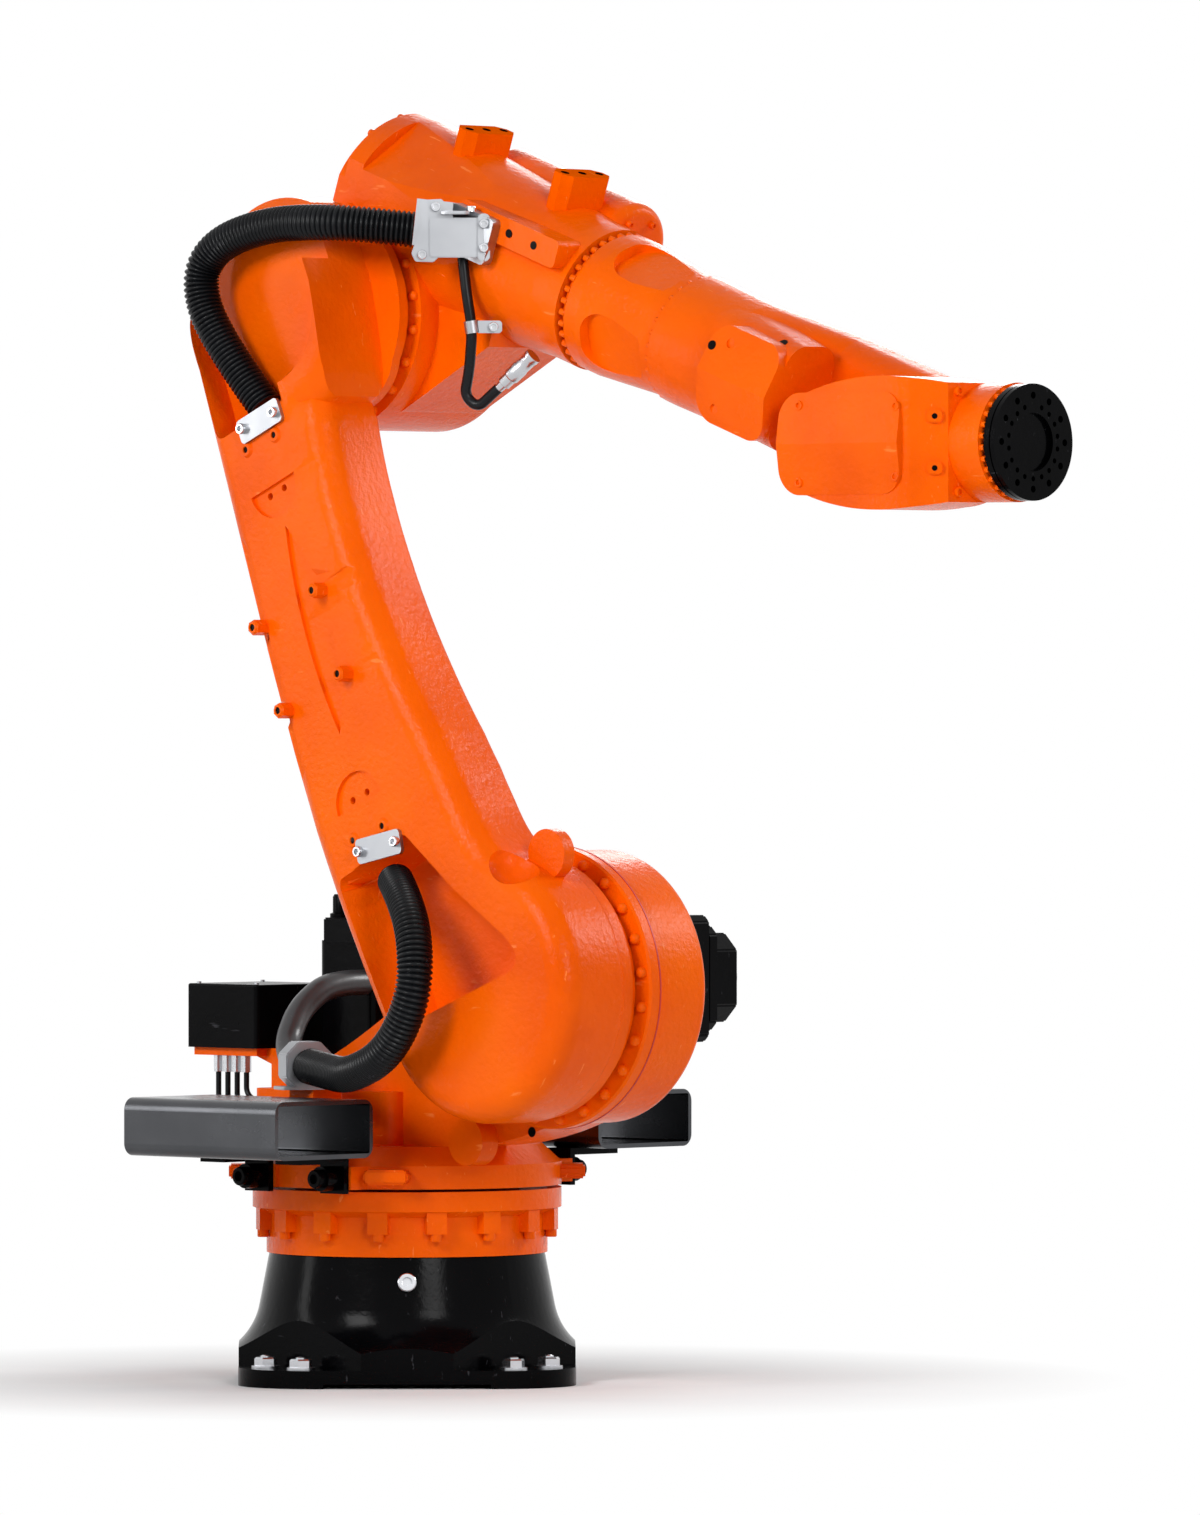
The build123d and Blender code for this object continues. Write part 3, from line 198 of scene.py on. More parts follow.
orange = {
    "deep": (0.84, 0.092, 0.0), "main": (0.94, 0.118, 0.0), "pale": (0.98, 0.14, 0.0),
    "grain": 0.0015, "wear": (1.0, 0.21, 0.035),
}
finishes = {
    "orange_paint": painted("orange_paint", **orange, roughness=(0.2, 0.3), gloss=0.08),
    "orange_matt": painted("orange_matt", **orange, roughness=(0.5, 0.6), gloss=0.0),
    "black_paint": painted(
        "black_paint", deep=(0.0005, 0.0005, 0.0007), main=(0.001, 0.001, 0.0013),
        pale=(0.002, 0.002, 0.0026), roughness=(0.12, 0.2), gloss=0.045, grain=0.0003,
        wear=(0.03, 0.03, 0.034),
    ),
    "black_plastic": painted(
        "black_plastic", deep=(0.0008, 0.0008, 0.001), main=(0.0016, 0.0016, 0.002),
        pale=(0.003, 0.003, 0.0036), roughness=(0.26, 0.36), gloss=0.04, grain=0.00025,
        wear=(0.04, 0.04, 0.045),
    ),
    # Matt black for the dark discs of painted shade in the mounting blocks' bores
    "matt_bore_shade": painted(
        "matt_bore_shade", deep=(0.002, 0.001, 0.001), main=(0.003, 0.0016, 0.0015),
        pale=(0.005, 0.003, 0.003), roughness=(0.6, 0.7), gloss=0.0, grain=0.00025,
        wear=(0.01, 0.006, 0.005),
    ),
    "dark_steel": metal(
        "dark_steel", deep=(0.062, 0.064, 0.069), pale=(0.09, 0.092, 0.098),
        roughness=(0.22, 0.3), grain_scale=300, grain=0.000008,
    ),
    "aluminium": metal(
        "aluminium", deep=(0.33, 0.34, 0.36), pale=(0.42, 0.43, 0.45),
        roughness=(0.32, 0.42), grain_scale=500, grain=0.000006,
    ),
    "plated_steel": metal(
        "plated_steel", deep=(0.5, 0.51, 0.53), pale=(0.62, 0.63, 0.66),
        roughness=(0.2, 0.3), grain_scale=500, grain=0.000006,
    ),
    "black_hose": painted(
        "black_hose", deep=(0.0022, 0.0024, 0.0028), main=(0.0045, 0.005, 0.006),
        pale=(0.009, 0.01, 0.012), roughness=(0.24, 0.36), gloss=0.16, grain=0.0002,
        wear=(0.03, 0.03, 0.035),
    ),
    "grey_conduit": painted(
        "grey_conduit", deep=(0.012, 0.012, 0.013), main=(0.022, 0.022, 0.024),
        pale=(0.04, 0.04, 0.043), roughness=(0.28, 0.42), gloss=0.45, grain=0.0003,
        wear=(0.12, 0.12, 0.13), coat=0.15,
    ),
}

# Each node has its slot's finish, but the flat tops of the mounting blocks would mirror the lamps
for part in frame["record"]["subparts"]:
    mesh = frame["nodes"][part["node"]].data
    mesh.materials.clear()
    matt = part["node"].startswith("mounting_block")
    mesh.materials.append(finishes["orange_matt" if matt else part["material_slot"]])

# Where the axes lie, as in the CAD
shoulder = Vector((0.495, 0, 0.712))
link_lean = radians(23.64)
link_length = 1.297
arm_pitch = radians(19.5)
elbow_offset = 0.193
wrist_reach = 1.278
link_forward = Vector((cos(link_lean), 0, sin(link_lean)))
link_up = Vector((-sin(link_lean), 0, cos(link_lean)))
elbow = shoulder + link_length * link_up
roll_along = Vector((cos(arm_pitch), 0, -sin(arm_pitch)))
roll_up = Vector((sin(arm_pitch), 0, cos(arm_pitch)))
roll_start = elbow + elbow_offset * roll_up
wrist = roll_start + wrist_reach * roll_along
forward, near, up = Vector((1, 0, 0)), Vector((0, -1, 0)), Vector((0, 0, 1))
link_near = -0.345

# The elbow's hose clamp stands askew, half to the front and half to the near side
clamp_face = Vector((0.7071, -0.7071, 0))
clamp_across = Vector((0.7071, 0.7071, 0))


def on_link(ahead, along, y=link_near):
    """A point ahead of the link's centre line and along it from the shoulder, at a given y."""
    point = shoulder + ahead * link_forward + along * link_up
    return Vector((point.x, y, point.z))


def on_arm(along, y, rise):
    """A point along the roll axis from over the elbow, at a given y, and up from that axis."""
    point = roll_start + along * roll_along + rise * roll_up
    return Vector((point.x, y, point.z))


def circle(center, axis, start, radius, count, first=0.0):
    """Points round an axis: first is the angle from the start direction to the first point."""
    turns = [Matrix.Rotation(first + 2 * pi * k / count, 3, axis) for k in range(count)]
    return [center + radius * (turn @ start) for turn in turns]


def aimed(spots, direction):
    """The spots, each with the same direction."""
    return [(spot, direction) for spot in spots]


def seat(place, direction):
    """Matrix that stands local z on a direction at a place."""
    return Matrix.Translation(place) @ direction.to_track_quat("Z", "Y").to_matrix().to_4x4()


def facing(place, out, upright=up):
    """Frame at a place whose z points out, with y as upright as it can be."""
    x = upright.cross(out).normalized()
    y = out.cross(x)
    return Matrix((
        (x.x, y.x, out.x, place.x), (x.y, y.y, out.y, place.y), (x.z, y.z, out.z, place.z),
        (0, 0, 0, 1),
    ))


def lathe(bm, profile, matrix, sides):
    """Turns a profile of (radius, height) about local z; radius 0 closes it in a point."""
    turns = [2 * pi * k / sides for k in range(sides)]
    rings = []
    for radius, height in profile:
        if radius == 0:
            points = [Vector((0, 0, height))]
        else:
            points = [Vector((radius * cos(turn), radius * sin(turn), height)) for turn in turns]
        rings.append([bm.verts.new(matrix @ point) for point in points])
    for low, high in zip(rings, rings[1:]):
        for k in range(sides):
            corners = [
                low[k % len(low)], low[(k + 1) % len(low)],
                high[(k + 1) % len(high)], high[k % len(high)],
            ]
            bm.faces.new(list(dict.fromkeys(corners)))


def prism(bm, outline, matrix, depth, bevel=0.0):
    """A flat plate: an outline of (x, y) in a frame, extruded along its z, with bevelled edges."""
    face = bm.faces.new([bm.verts.new(matrix @ Vector((x, y, 0))) for x, y in outline])
    grown = bmesh.ops.extrude_face_region(bm, geom=[face])
    lift = matrix.to_3x3() @ Vector((0, 0, depth))
    moved = [part for part in grown["geom"] if isinstance(part, bmesh.types.BMVert)]
    bmesh.ops.translate(bm, verts=moved, vec=lift)
    if bevel:
        edges = [edge for vertex in moved for edge in vertex.link_edges] + list(face.edges)
        edges = list(dict.fromkeys(edges))
        bmesh.ops.bevel(bm, geom=edges, offset=bevel, segments=2, affect="EDGES")


def oblong(width, height, cut):
    """Corners of a rectangle with its four corners cut off."""
    x, y = width / 2, height / 2
    return [
        (x, y - cut), (x - cut, y), (cut - x, y), (-x, y - cut),
        (-x, cut - y), (cut - x, -y), (x - cut, -y), (x, cut - y),
    ]


def mesh_object(name, bm):
    """An object in the scene with the mesh of a bmesh."""
    mesh = bpy.data.meshes.new(name)
    bm.to_mesh(mesh)
    bm.free()
    made = bpy.data.objects.new(name, mesh)
    scene.collection.objects.link(made)
    return made


def piece(name, bm, slot, body, sharp=35):
    """Makes a piece from a bmesh, with its finish, on a body."""
    bmesh.ops.recalc_face_normals(bm, faces=bm.faces)
    made = mesh_object(name, bm)
    mesh = made.data
    if "custom_normal" in mesh.attributes:
        mesh.attributes.remove(mesh.attributes["custom_normal"])
    mesh.shade_smooth()
    mesh.set_sharp_from_angle(angle=radians(sharp))
    mesh.materials.append(finishes[slot])
    if body:
        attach(made, body)
    return made


def plate(name, body, slot, matrix, outline, depth, bevel):
    """A plate with bevelled edges, drawn as an outline on a face."""
    bm = bmesh.new()
    prism(bm, outline, matrix, depth, bevel)
    return piece(name, bm, slot, body)


def turned(name, body, slot, shape, places):
    """One piece with the same turned shape at each (place, direction)."""
    bm = bmesh.new()
    for place, direction in places:
        for profile, sides in shape:
            lathe(bm, profile, seat(place, direction), sides)
    return piece(name, bm, slot, body)


# Sides of the turned shapes
hexagon, small_sides, cap_sides, boss_sides = 6, 16, 20, 24


def socket_cap(radius, height):
    """Head of a socket cap screw, with its recess."""
    profile = [
        (radius, 0), (radius, 0.86 * height), (0.9 * radius, height), (0.56 * radius, height),
        (0.5 * radius, 0.4 * height), (0, 0.4 * height),
    ]
    return [(profile, cap_sides)]


def hex_bolt(radius, height, washer):
    """Hexagon head with a chamfered top on a washer, and the end of its stud."""
    disc = 0.22 * height
    washer_profile = [(washer, 0), (washer, disc), (0.5 * radius, disc)]
    head = [(radius, disc), (radius, 0.85 * height), (0.86 * radius, height), (0, height)]
    stud = [
        (0.45 * radius, 0.9 * height), (0.45 * radius, 1.12 * height),
        (0.3 * radius, 1.2 * height), (0, 1.2 * height),
    ]
    return [(washer_profile, boss_sides), (head, hexagon), (stud, small_sides)]


def dome(radius, height):
    """Rounded bolt head."""
    rises = [step * pi / 10 for step in range(5)]
    curve = [(radius * cos(rise), height * (0.35 + 0.65 * sin(rise))) for rise in rises]
    return [([(radius, 0), *curve, (0, height)], small_sides)]


def boss(radius, height, bore):
    """A small cast boss with a chamfered rim round its bore."""
    profile = [
        (1.15 * radius, 0), (radius, 0.6 * height), (0.88 * radius, height), (bore, height),
        (bore, 0.2 * height),
    ]
    return [(profile, boss_sides)]


def shade_disc(radius, height=0.0008):
    """A thin dark disc of painted shade, standing in for the shade inside a bore."""
    return [([(radius, 0), (radius, height), (0, height)], cap_sides)]


# Corrugated hoses along the CAD's routes, the upper one a little lower, as in the photo
hose_radius = 0.032
hose_valley = 0.0272
rib_pitch = 0.0088
rib_steps = 6
rib_roundness = 0.6
hose_sides = 32
lower_hose_route = (
    (0.020, -0.262, 0.566), (0.115, -0.312, 0.560), (0.243, -0.385, 0.556),
    (0.372, -0.416, 0.600), (0.438, -0.420, 0.700), (0.424, -0.404, 0.800),
    (0.356, -0.362, 0.868), (0.284, -0.314, 0.900),
)
upper_hose_route = (
    (-0.0421, -0.313, 1.7342), (-0.1501, -0.336, 1.8622), (-0.1901, -0.338, 1.9622),
    (-0.1501, -0.330, 2.0242), (-0.0301, -0.324, 2.0562), (0.1059, -0.318, 2.0582),
    (0.1795, -0.266, 2.0516), (0.2316, -0.216, 2.0437),
)


def centre_line(route):
    """Points along a quadratic curve that has the route as its control points."""
    data = bpy.data.curves.new("route", "CURVE")
    data.dimensions = "3D"
    data.resolution_u = 40
    spline = data.splines.new("NURBS")
    spline.points.add(len(route) - 1)
    for point, place in zip(spline.points, route):
        point.co = (*place, 1)
    spline.order_u = 3
    spline.use_endpoint_u = True
    carrier = bpy.data.objects.new("route", data)
    scene.collection.objects.link(carrier)
    line = bpy.data.meshes.new_from_object(carrier)
    points = [vertex.co.copy() for vertex in line.vertices]
    bpy.data.objects.remove(carrier)
    bpy.data.curves.remove(data)
    bpy.data.meshes.remove(line)
    return points


def even_points(points, spacing):
    """The same line with points at an even spacing."""
    lengths = [0.0]
    for a, b in zip(points, points[1:]):
        lengths.append(lengths[-1] + (b - a).length)
    count = max(2, round(lengths[-1] / spacing))
    spread, at, shortest = [], 0, 1e-9
    for number in range(count + 1):
        goal = lengths[-1] * number / count
        while at < len(points) - 2 and lengths[at + 1] < goal:
            at += 1
        share = (goal - lengths[at]) / max(lengths[at + 1] - lengths[at], shortest)
        spread.append(points[at].lerp(points[at + 1], share))
    return spread


def ribbed_hose(name, route, node_name):
    """A corrugated hose along a curved route from one body to the next."""
    spread = even_points(centre_line(route), rib_pitch / rib_steps)
    turns = [2 * pi * k / hose_sides for k in range(hose_sides)]
    bm = bmesh.new()
    side = up
    rings = []
    for number, here in enumerate(spread):
        ahead = spread[min(number + 1, len(spread) - 1)] - spread[max(number - 1, 0)]
        ahead.normalize()
        side = (side - side.dot(ahead) * ahead).normalized()
        other = ahead.cross(side)
        wave = 0.5 + 0.5 * cos(2 * pi * number / rib_steps)
        radius = hose_valley + (hose_radius - hose_valley) * wave ** rib_roundness
        rings.append([
            bm.verts.new(here + radius * (cos(turn) * side + sin(turn) * other)) for turn in turns
        ])
    for low, high in zip(rings, rings[1:]):
        for k in range(hose_sides):
            after = (k + 1) % hose_sides
            bm.faces.new((low[k], low[after], high[after], high[k]))
    bm.faces.new(rings[0])
    bm.faces.new(rings[-1])
    hose = piece(name, bm, "black_hose", None, sharp=60)
    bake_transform(hose)
    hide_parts(node_name)


ribbed_hose("lower_hose_ribbed", lower_hose_route, "lower_hose")
ribbed_hose("upper_hose_ribbed", upper_hose_route, "upper_hose")

# Link arm: the photo's casting is wider than the CAD's, so a copy of it is widened. Tables go
# along the link from the shoulder: where its edges lie ahead of the centre line, and how far out
# they move.
front_places = (
    (0.138, 0.190), (0.22, 0.126), (0.263, 0.101), (0.30, 0.084), (0.35, 0.065), (0.40, 0.049),
    (0.50, 0.024), (0.604, 0.005), (0.70, -0.006), (0.80, -0.010), (0.918, -0.005), (1.0, 0.008),
    (1.064, 0.025), (1.10, 0.056), (1.15, 0.130),
)
front_shifts = (
    (0.20, 0.0), (0.26, 0.013), (0.32, 0.030), (0.38, 0.043), (0.45, 0.050), (0.60, 0.052),
    (0.80, 0.052), (0.918, 0.049), (1.0, 0.044), (1.064, 0.039), (1.10, 0.026), (1.15, 0.0),
)
rear_places = ((0.0, -0.2355), (1.3, -0.2025))
rear_shifts = (
    (0.0, 0.0), (0.15, 0.018), (0.27, 0.029), (0.389, 0.036), (0.55, 0.036), (0.73, 0.031),
    (0.9, 0.022), (1.1, 0.011), (1.297, 0.001),
)

# How far the rounded edges reach inwards, and the narrow steps that part them from the flat face
fillet_reaches = (
    (0.138, 0.070), (0.25, 0.060), (0.35, 0.056), (0.45, 0.0535), (0.60, 0.0510), (0.75, 0.0500),
    (1.15, 0.0510),
)
rear_reach = 0.0492
front_step, rear_step = 0.0015, 0.0012
link_fillet = 0.048

# Levels at which the mesh is cut so that it can bend, and the distance at which it is welded
link_band, link_bands = 0.05, 24
weld_distance = 1e-5

# Small forms on the near face that stay as they are: standoffs, lug, half-moon pads and groove
standoff_middle, standoff_half = (-0.131, 0.7017), (0.081, 0.080)
standoff_spots = [
    (standoff_middle[0] + x * standoff_half[0], standoff_middle[1] + z * standoff_half[1])
    for x in (-1, 1) for z in (-1, 1)
]
standoff_reach, standoff_slack = 0.0146, 0.0005
lug_spot, lug_reach = (0.195, 0.172), 0.0445
half_moons, half_moon_reach = ((-0.117, 0.402), (-0.092, 1.004)), 0.0590
groove_front, groove_low, groove_high = -0.050, 0.52, 0.94
recess_y, face_slack = -0.3365, 0.001

# The flat cut at the front of the upper hub
crown_cut = (
    (0.064, 1.064), (0.080, 1.100), (0.099, 1.138), (0.113, 1.185), (0.126, 1.244),
    (0.136, 1.297), (0.136, 1.530), (0.260, 1.530), (0.260, 1.064),
)
crown_far, crown_depth = -0.1895, 0.3


def between(table, place):
    """Value of a table of (place, value) at a place, on straight lines between its rows."""
    if place <= table[0][0]:
        return table[0][1]
    for (low, first), (high, last) in zip(table, table[1:]):
        if place <= high:
            share = (place - low) / (high - low)
            return first + (last - first) * share
    return table[-1][1]


def clamped(value):
    """The value held between 0 and 1."""
    return max(0.0, min(1.0, value))


def baked(made):
    """The mesh of an object with its modifiers applied."""
    depsgraph = bpy.context.evaluated_depsgraph_get()
    return bpy.data.meshes.new_from_object(made.evaluated_get(depsgraph))


def widened(point):
    """Where a point of the CAD's link arm lies on the wider one."""
    offset = point - shoulder
    ahead, along = offset.dot(link_forward), offset.dot(link_up)

    def within(reach, *spots):
        return any((ahead - x) ** 2 + (along - z) ** 2 < reach ** 2 for x, z in spots)

    if within(standoff_reach, *standoff_spots):
        if point.y > link_near - standoff_slack:
            rear_start = between(rear_places, along) - between(rear_shifts, along) + link_fillet
            dip = clamped((rear_start - ahead) / link_fillet) * link_fillet
            point.y = link_near + link_fillet - (link_fillet ** 2 - dip ** 2) ** 0.5
        return point
    if within(lug_reach, lug_spot):
        return point
    if point.y < recess_y and within(half_moon_reach, *half_moons):
        if point.y < link_near + face_slack:
            point.y = link_near
        return point
    by_groove = ahead < groove_front and groove_low < along < groove_high
    if by_groove and link_near + face_slack < point.y < recess_y:
        return point
    if along <= 0:
        return point
    reach = between(fillet_reaches, along)
    front = clamped((ahead - between(front_places, along) + reach) / front_step)
    rear = clamped((between(rear_places, along) + rear_reach - ahead) / rear_step)
    shift = front * between(front_shifts, along) - rear * between(rear_shifts, along)
    return point + shift * link_forward


def wide_link():
    """Copy of the link arm with its edges moved out and the front of its upper hub cut flat."""
    bm = bmesh.new()
    bm.from_mesh(frame["nodes"]["link_arm"].data)
    bmesh.ops.remove_doubles(bm, verts=bm.verts, dist=weld_distance)
    for number in range(1, link_bands + 1):
        everything = bm.verts[:] + bm.edges[:] + bm.faces[:]
        level = shoulder + number * link_band * link_up
        bmesh.ops.bisect_plane(bm, geom=everything, plane_co=level, plane_no=link_up)
    for vertex in bm.verts:
        vertex.co = widened(vertex.co.copy())
    bulk = mesh_object("link_bulk", bm)
    bm = bmesh.new()
    prism(bm, crown_cut, facing(on_link(0, 0, crown_far), near, link_up), crown_depth)
    bmesh.ops.recalc_face_normals(bm, faces=bm.faces)
    cutter = mesh_object("crown_cutter", bm)
    trim = bulk.modifiers.new("trim", "BOOLEAN")
    trim.operation, trim.solver, trim.object = "DIFFERENCE", "EXACT", cutter
    bm = bmesh.new()
    bm.from_mesh(baked(bulk))
    for spare in (bulk, cutter):
        bpy.data.objects.remove(spare)
    made = piece("link_arm_cast", bm, "orange_paint", "link", sharp=32)
    even = made.modifiers.new("normals", "WEIGHTED_NORMAL")
    even.keep_sharp = True
    shaded = baked(made)
    made.modifiers.clear()
    made.data = shaded
    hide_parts("link_arm")


wide_link()

# Base: foot bolts on their washers, the plug in the pedestal wall, screws under the ring's bosses
foot_top, foot_bolt_reach, foot_bolt_half = 0.032, 0.310, 0.0445
feet = [(x * foot_bolt_reach, y * foot_bolt_half) for x in (-1, 1) for y in (-1, 1)]
feet += [(y, x) for x, y in feet]
foot_spots = [Vector((x, y, foot_top)) for x, y in feet]
foot_bolt = hex_bolt(radius=0.0205, height=0.019, washer=0.025)
turned("foot_bolts", "base", "plated_steel", foot_bolt, aimed(foot_spots, up))
plug_place = Vector((0.1799, -0.1799, 0.185))
plug_out = Vector((1, -1, 0.27)).normalized()
pedestal_plug = socket_cap(radius=0.0165, height=0.012)
turned("pedestal_plug", "base", "plated_steel", pedestal_plug, [(plug_place, plug_out)])
ring_low = Vector((0, 0, 0.271))
ring_spots = circle(ring_low, up, forward, radius=0.2615, count=16, first=pi / 16)
ring_screw = socket_cap(radius=0.0105, height=0.013)
turned("ring_screws", "base", "orange_paint", ring_screw, aimed(ring_spots, -up))

# Shoulder and elbow: rounded bolt heads round both bearings, and the thin red seam on the drum
bearing_y, seam_y = -0.145, -0.118
shoulder_face = Vector((shoulder.x, bearing_y, shoulder.z))
shoulder_spots = circle(shoulder_face, near, forward, radius=0.2315, count=24, first=pi / 24)
shoulder_bolt = dome(radius=0.0098, height=0.013)
turned("shoulder_bolts", "carousel", "orange_paint", shoulder_bolt, aimed(shoulder_spots, near))
elbow_face = Vector((elbow.x, bearing_y, elbow.z))
elbow_spots = circle(elbow_face, near, forward, radius=0.1915, count=20, first=pi / 20)
elbow_bolt = dome(radius=0.0088, height=0.012)
turned("elbow_bolts", "elbow", "orange_paint", elbow_bolt, aimed(elbow_spots, near))

seam_red, _, _ = drifting(
    "seam_red", scale=8, low=(0.42, 0.008, 0.0), high=(0.55, 0.014, 0.001), roughness=0.5
)
seam_inner, seam_outer, seam_width, seam_sides = 0.2402, 0.2488, 0.0032, 96
seam_profile = [
    (seam_inner, 0), (seam_outer, 0), (seam_outer, seam_width), (seam_inner, seam_width),
]
seam_place = Vector((shoulder.x, seam_y, shoulder.z))
drum_seam = turned(
    "drum_seam", "carousel", "orange_paint", [(seam_profile, seam_sides)], [(seam_place, near)]
)
drum_seam.data.materials[0] = seam_red

# Link arm: bosses beside the half-moon pads, rims of the standoffs with dark discs of painted
# shade in the bores of both, screws of the clamp plates
link_boss_spots = ((-0.125, 1.087), (-0.050, 1.082), (-0.155, 0.348), (-0.078, 0.343))
link_bosses = aimed([on_link(*spot) for spot in link_boss_spots], near)
link_boss = boss(radius=0.0125, height=0.005, bore=0.006)
turned("link_bosses", "link", "orange_paint", link_boss, link_bosses)
# Dark discs of painted shade in the bores of the bosses
turned("link_boss_bores", "link", "black_plastic", shade_disc(radius=0.0062, height=0.002), link_bosses)
standoff_height, plate_thickness = 0.026, 0.008
standoff_top = link_near - standoff_height
standoffs = aimed([on_link(*spot, standoff_top) for spot in standoff_spots], near)
standoff_rim = boss(radius=0.0105, height=0.004, bore=0.0065)
turned("standoff_rims", "link", "orange_paint", standoff_rim, standoffs)
# Dark discs of painted shade in the bores of the standoffs
turned("standoff_bores", "link", "black_plastic", shade_disc(radius=0.0066, height=0.0012), standoffs)
plate_top = link_near - plate_thickness
plate_screw_spots = ((-0.112, 1.122), (-0.028, 1.116), (-0.142, 0.3215), (-0.052, 0.3025))
plate_screws = aimed([on_link(*spot, plate_top) for spot in plate_screw_spots], near)
plate_screw = socket_cap(radius=0.0095, height=0.010)
turned("plate_screws", "link", "plated_steel", plate_screw, plate_screws)

# Roll seam: socket screws in the groove of the tube, and smaller ones on its second band
tube_groove, tube_band = 0.497, 0.716
roll_ring = roll_start + tube_groove * roll_along
tube_spots = circle(roll_ring, roll_along, roll_up, radius=0.1215, count=36)
tube_screw = socket_cap(radius=0.0058, height=0.012)
turned("tube_screws", "wrist", "orange_paint", tube_screw, aimed(tube_spots, roll_along))
band_ring = roll_start + tube_band * roll_along
band_spots = circle(band_ring, roll_along, roll_up, radius=0.1125, count=30)
band_screw = socket_cap(radius=0.0045, height=0.007)
turned("band_screws", "wrist", "orange_paint", band_screw, aimed(band_spots, -roll_along))

# Wrist: screws of the flange ring behind the tool flange
flange_ring_reach = 0.229
ring_front = wrist + flange_ring_reach * forward
flange_spots = circle(ring_front, forward, up, radius=0.0945, count=30)
flange_screw = socket_cap(radius=0.0052, height=0.008)
turned("flange_screws", "wrist_pitch", "orange_paint", flange_screw, aimed(flange_spots, forward))

# Fork brackets: black cap screws on the spacers of both sides
spacer_end, spacer_height, spacer_middle, spacer_half = 0.322, 0.371, 0.0095, 0.095
bracket_screws = [
    (Vector((spacer_middle + x * spacer_half, y * spacer_end, spacer_height)), Vector((0, y, 0)))
    for x in (-1, 1) for y in (-1, 1)
]
bracket_screw = socket_cap(radius=0.0165, height=0.016)
turned("bracket_screws", "carousel", "black_plastic", bracket_screw, bracket_screws)

# Column: cast stop tabs round its foot
tab_rise, tab_start, tab_depth, tab_bevel = 0.374, 0.262, 0.056, 0.004
tab_turns = (-52, 45, -135)
tab_outline = oblong(width=0.080, height=0.026, cut=0.005)
bm = bmesh.new()
for turn in tab_turns:
    outward = Vector((cos(radians(turn)), sin(radians(turn)), 0))
    tab_frame = facing(tab_start * outward + tab_rise * up, outward)
    prism(bm, tab_outline, tab_frame, tab_depth, tab_bevel)
piece("column_tabs", bm, "orange_paint", "carousel")

# Shoulder motor: flange, stepped housing and round end cap, each further out along its axis
motor_axis_x, motor_axis_z, motor_bevel = 0.495, 0.724, 0.003
motor_steps = (
    (0.012, 0.168, oblong(width=0.186, height=0.224, cut=0.012)),
    (0.168, 0.192, oblong(width=0.180, height=0.186, cut=0.016)),
    (0.192, 0.254, oblong(width=0.158, height=0.158, cut=0.030)),
)
motor_cap = [
    (0, -0.002), (0.062, -0.002), (0.062, 0.014), (0.056, 0.022), (0.044, 0.025), (0, 0.026),
]
bm = bmesh.new()
for start, end, outline in motor_steps:
    step_frame = facing(Vector((motor_axis_x, start, motor_axis_z)), -near)
    prism(bm, outline, step_frame, end - start, motor_bevel)
lathe(bm, motor_cap, seat(Vector((motor_axis_x, end, motor_axis_z)), -near), sides=40)
motor_piece = piece("shoulder_motor_steps", bm, "black_paint", "carousel")
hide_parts("shoulder_motor")

# Column motor: its upper housing and the connector on top
motor_head = Vector((-0.170, 0.090, 0.776))
head_outline = oblong(width=0.152, height=0.152, cut=0.020)
connector_place = motor_head + Vector((-0.043, -0.045, 0.046))
connector = [
    (0, 0), (0.020, 0), (0.020, 0.008), (0.015, 0.010), (0.015, 0.038), (0.012, 0.043), (0, 0.043),
]
bm = bmesh.new()
prism(bm, head_outline, facing(motor_head, up, -near), depth=0.047, bevel=0.003)
lathe(bm, connector, seat(connector_place, up), sides=24)
piece("column_motor_head", bm, "black_plastic", "carousel")

# Hose clamp on the column: a block with cut corners on its foot plate
block_out = Vector((0.885, -0.466, 0)).normalized()
block_depth = 0.052
block_back = Vector((-0.008, -0.2475, 0.5675)) - block_depth / 2 * block_out
block_outline = oblong(width=0.085, height=0.085, cut=0.022)
block_foot = Vector((-0.012, -0.245, 0.5245))
block_foot_outline = oblong(width=0.100, height=0.060, cut=0.004)
bm = bmesh.new()
prism(bm, block_outline, facing(block_back, block_out), block_depth, bevel=0.002)
prism(bm, block_foot_outline, facing(block_foot, up, block_out), depth=0.006, bevel=0.001)
block_piece = piece("column_clamp_block", bm, "aluminium", "carousel")
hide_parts("column_hose_clamp")

# Elbow: hose clamp with its cut front plate, the bracket body beside it, and their screws
clamp_screw = socket_cap(radius=0.0085, height=0.010)
clamp_place, clamp_depth = Vector((0.279, -0.216, 2.040)), 0.008
clamp_outline = [
    (0.036, 0.034), (0.016, 0.056), (-0.022, 0.054), (-0.020, 0.010),
    (-0.037, -0.040), (-0.030, -0.054), (0.002, -0.055), (0.036, -0.022),
]
plate(
    "clamp_front_plate", "elbow", "aluminium", facing(clamp_place, clamp_face), clamp_outline,
    clamp_depth, bevel=0.0012,
)
clamp_spots = [
    clamp_place + x * clamp_across + y * up + clamp_depth * clamp_face
    for x, y in ((0.006, 0.042), (-0.018, -0.042))
]
turned("clamp_screws", "elbow", "plated_steel", clamp_screw, aimed(clamp_spots, clamp_face))
bracket_place = Vector((0.306, -0.186, 2.028))
edge_shift, edge_depth = 0.050, 0.020
roof_rise, roof_back, roof_depth = 0.040, 0.004, 0.006
plate(
    "clamp_bracket_body", "elbow", "aluminium", facing(bracket_place, clamp_face),
    oblong(width=0.092, height=0.070, cut=0.004), depth=0.014, bevel=0.0015,
)
bracket_edge = bracket_place + edge_shift * clamp_across
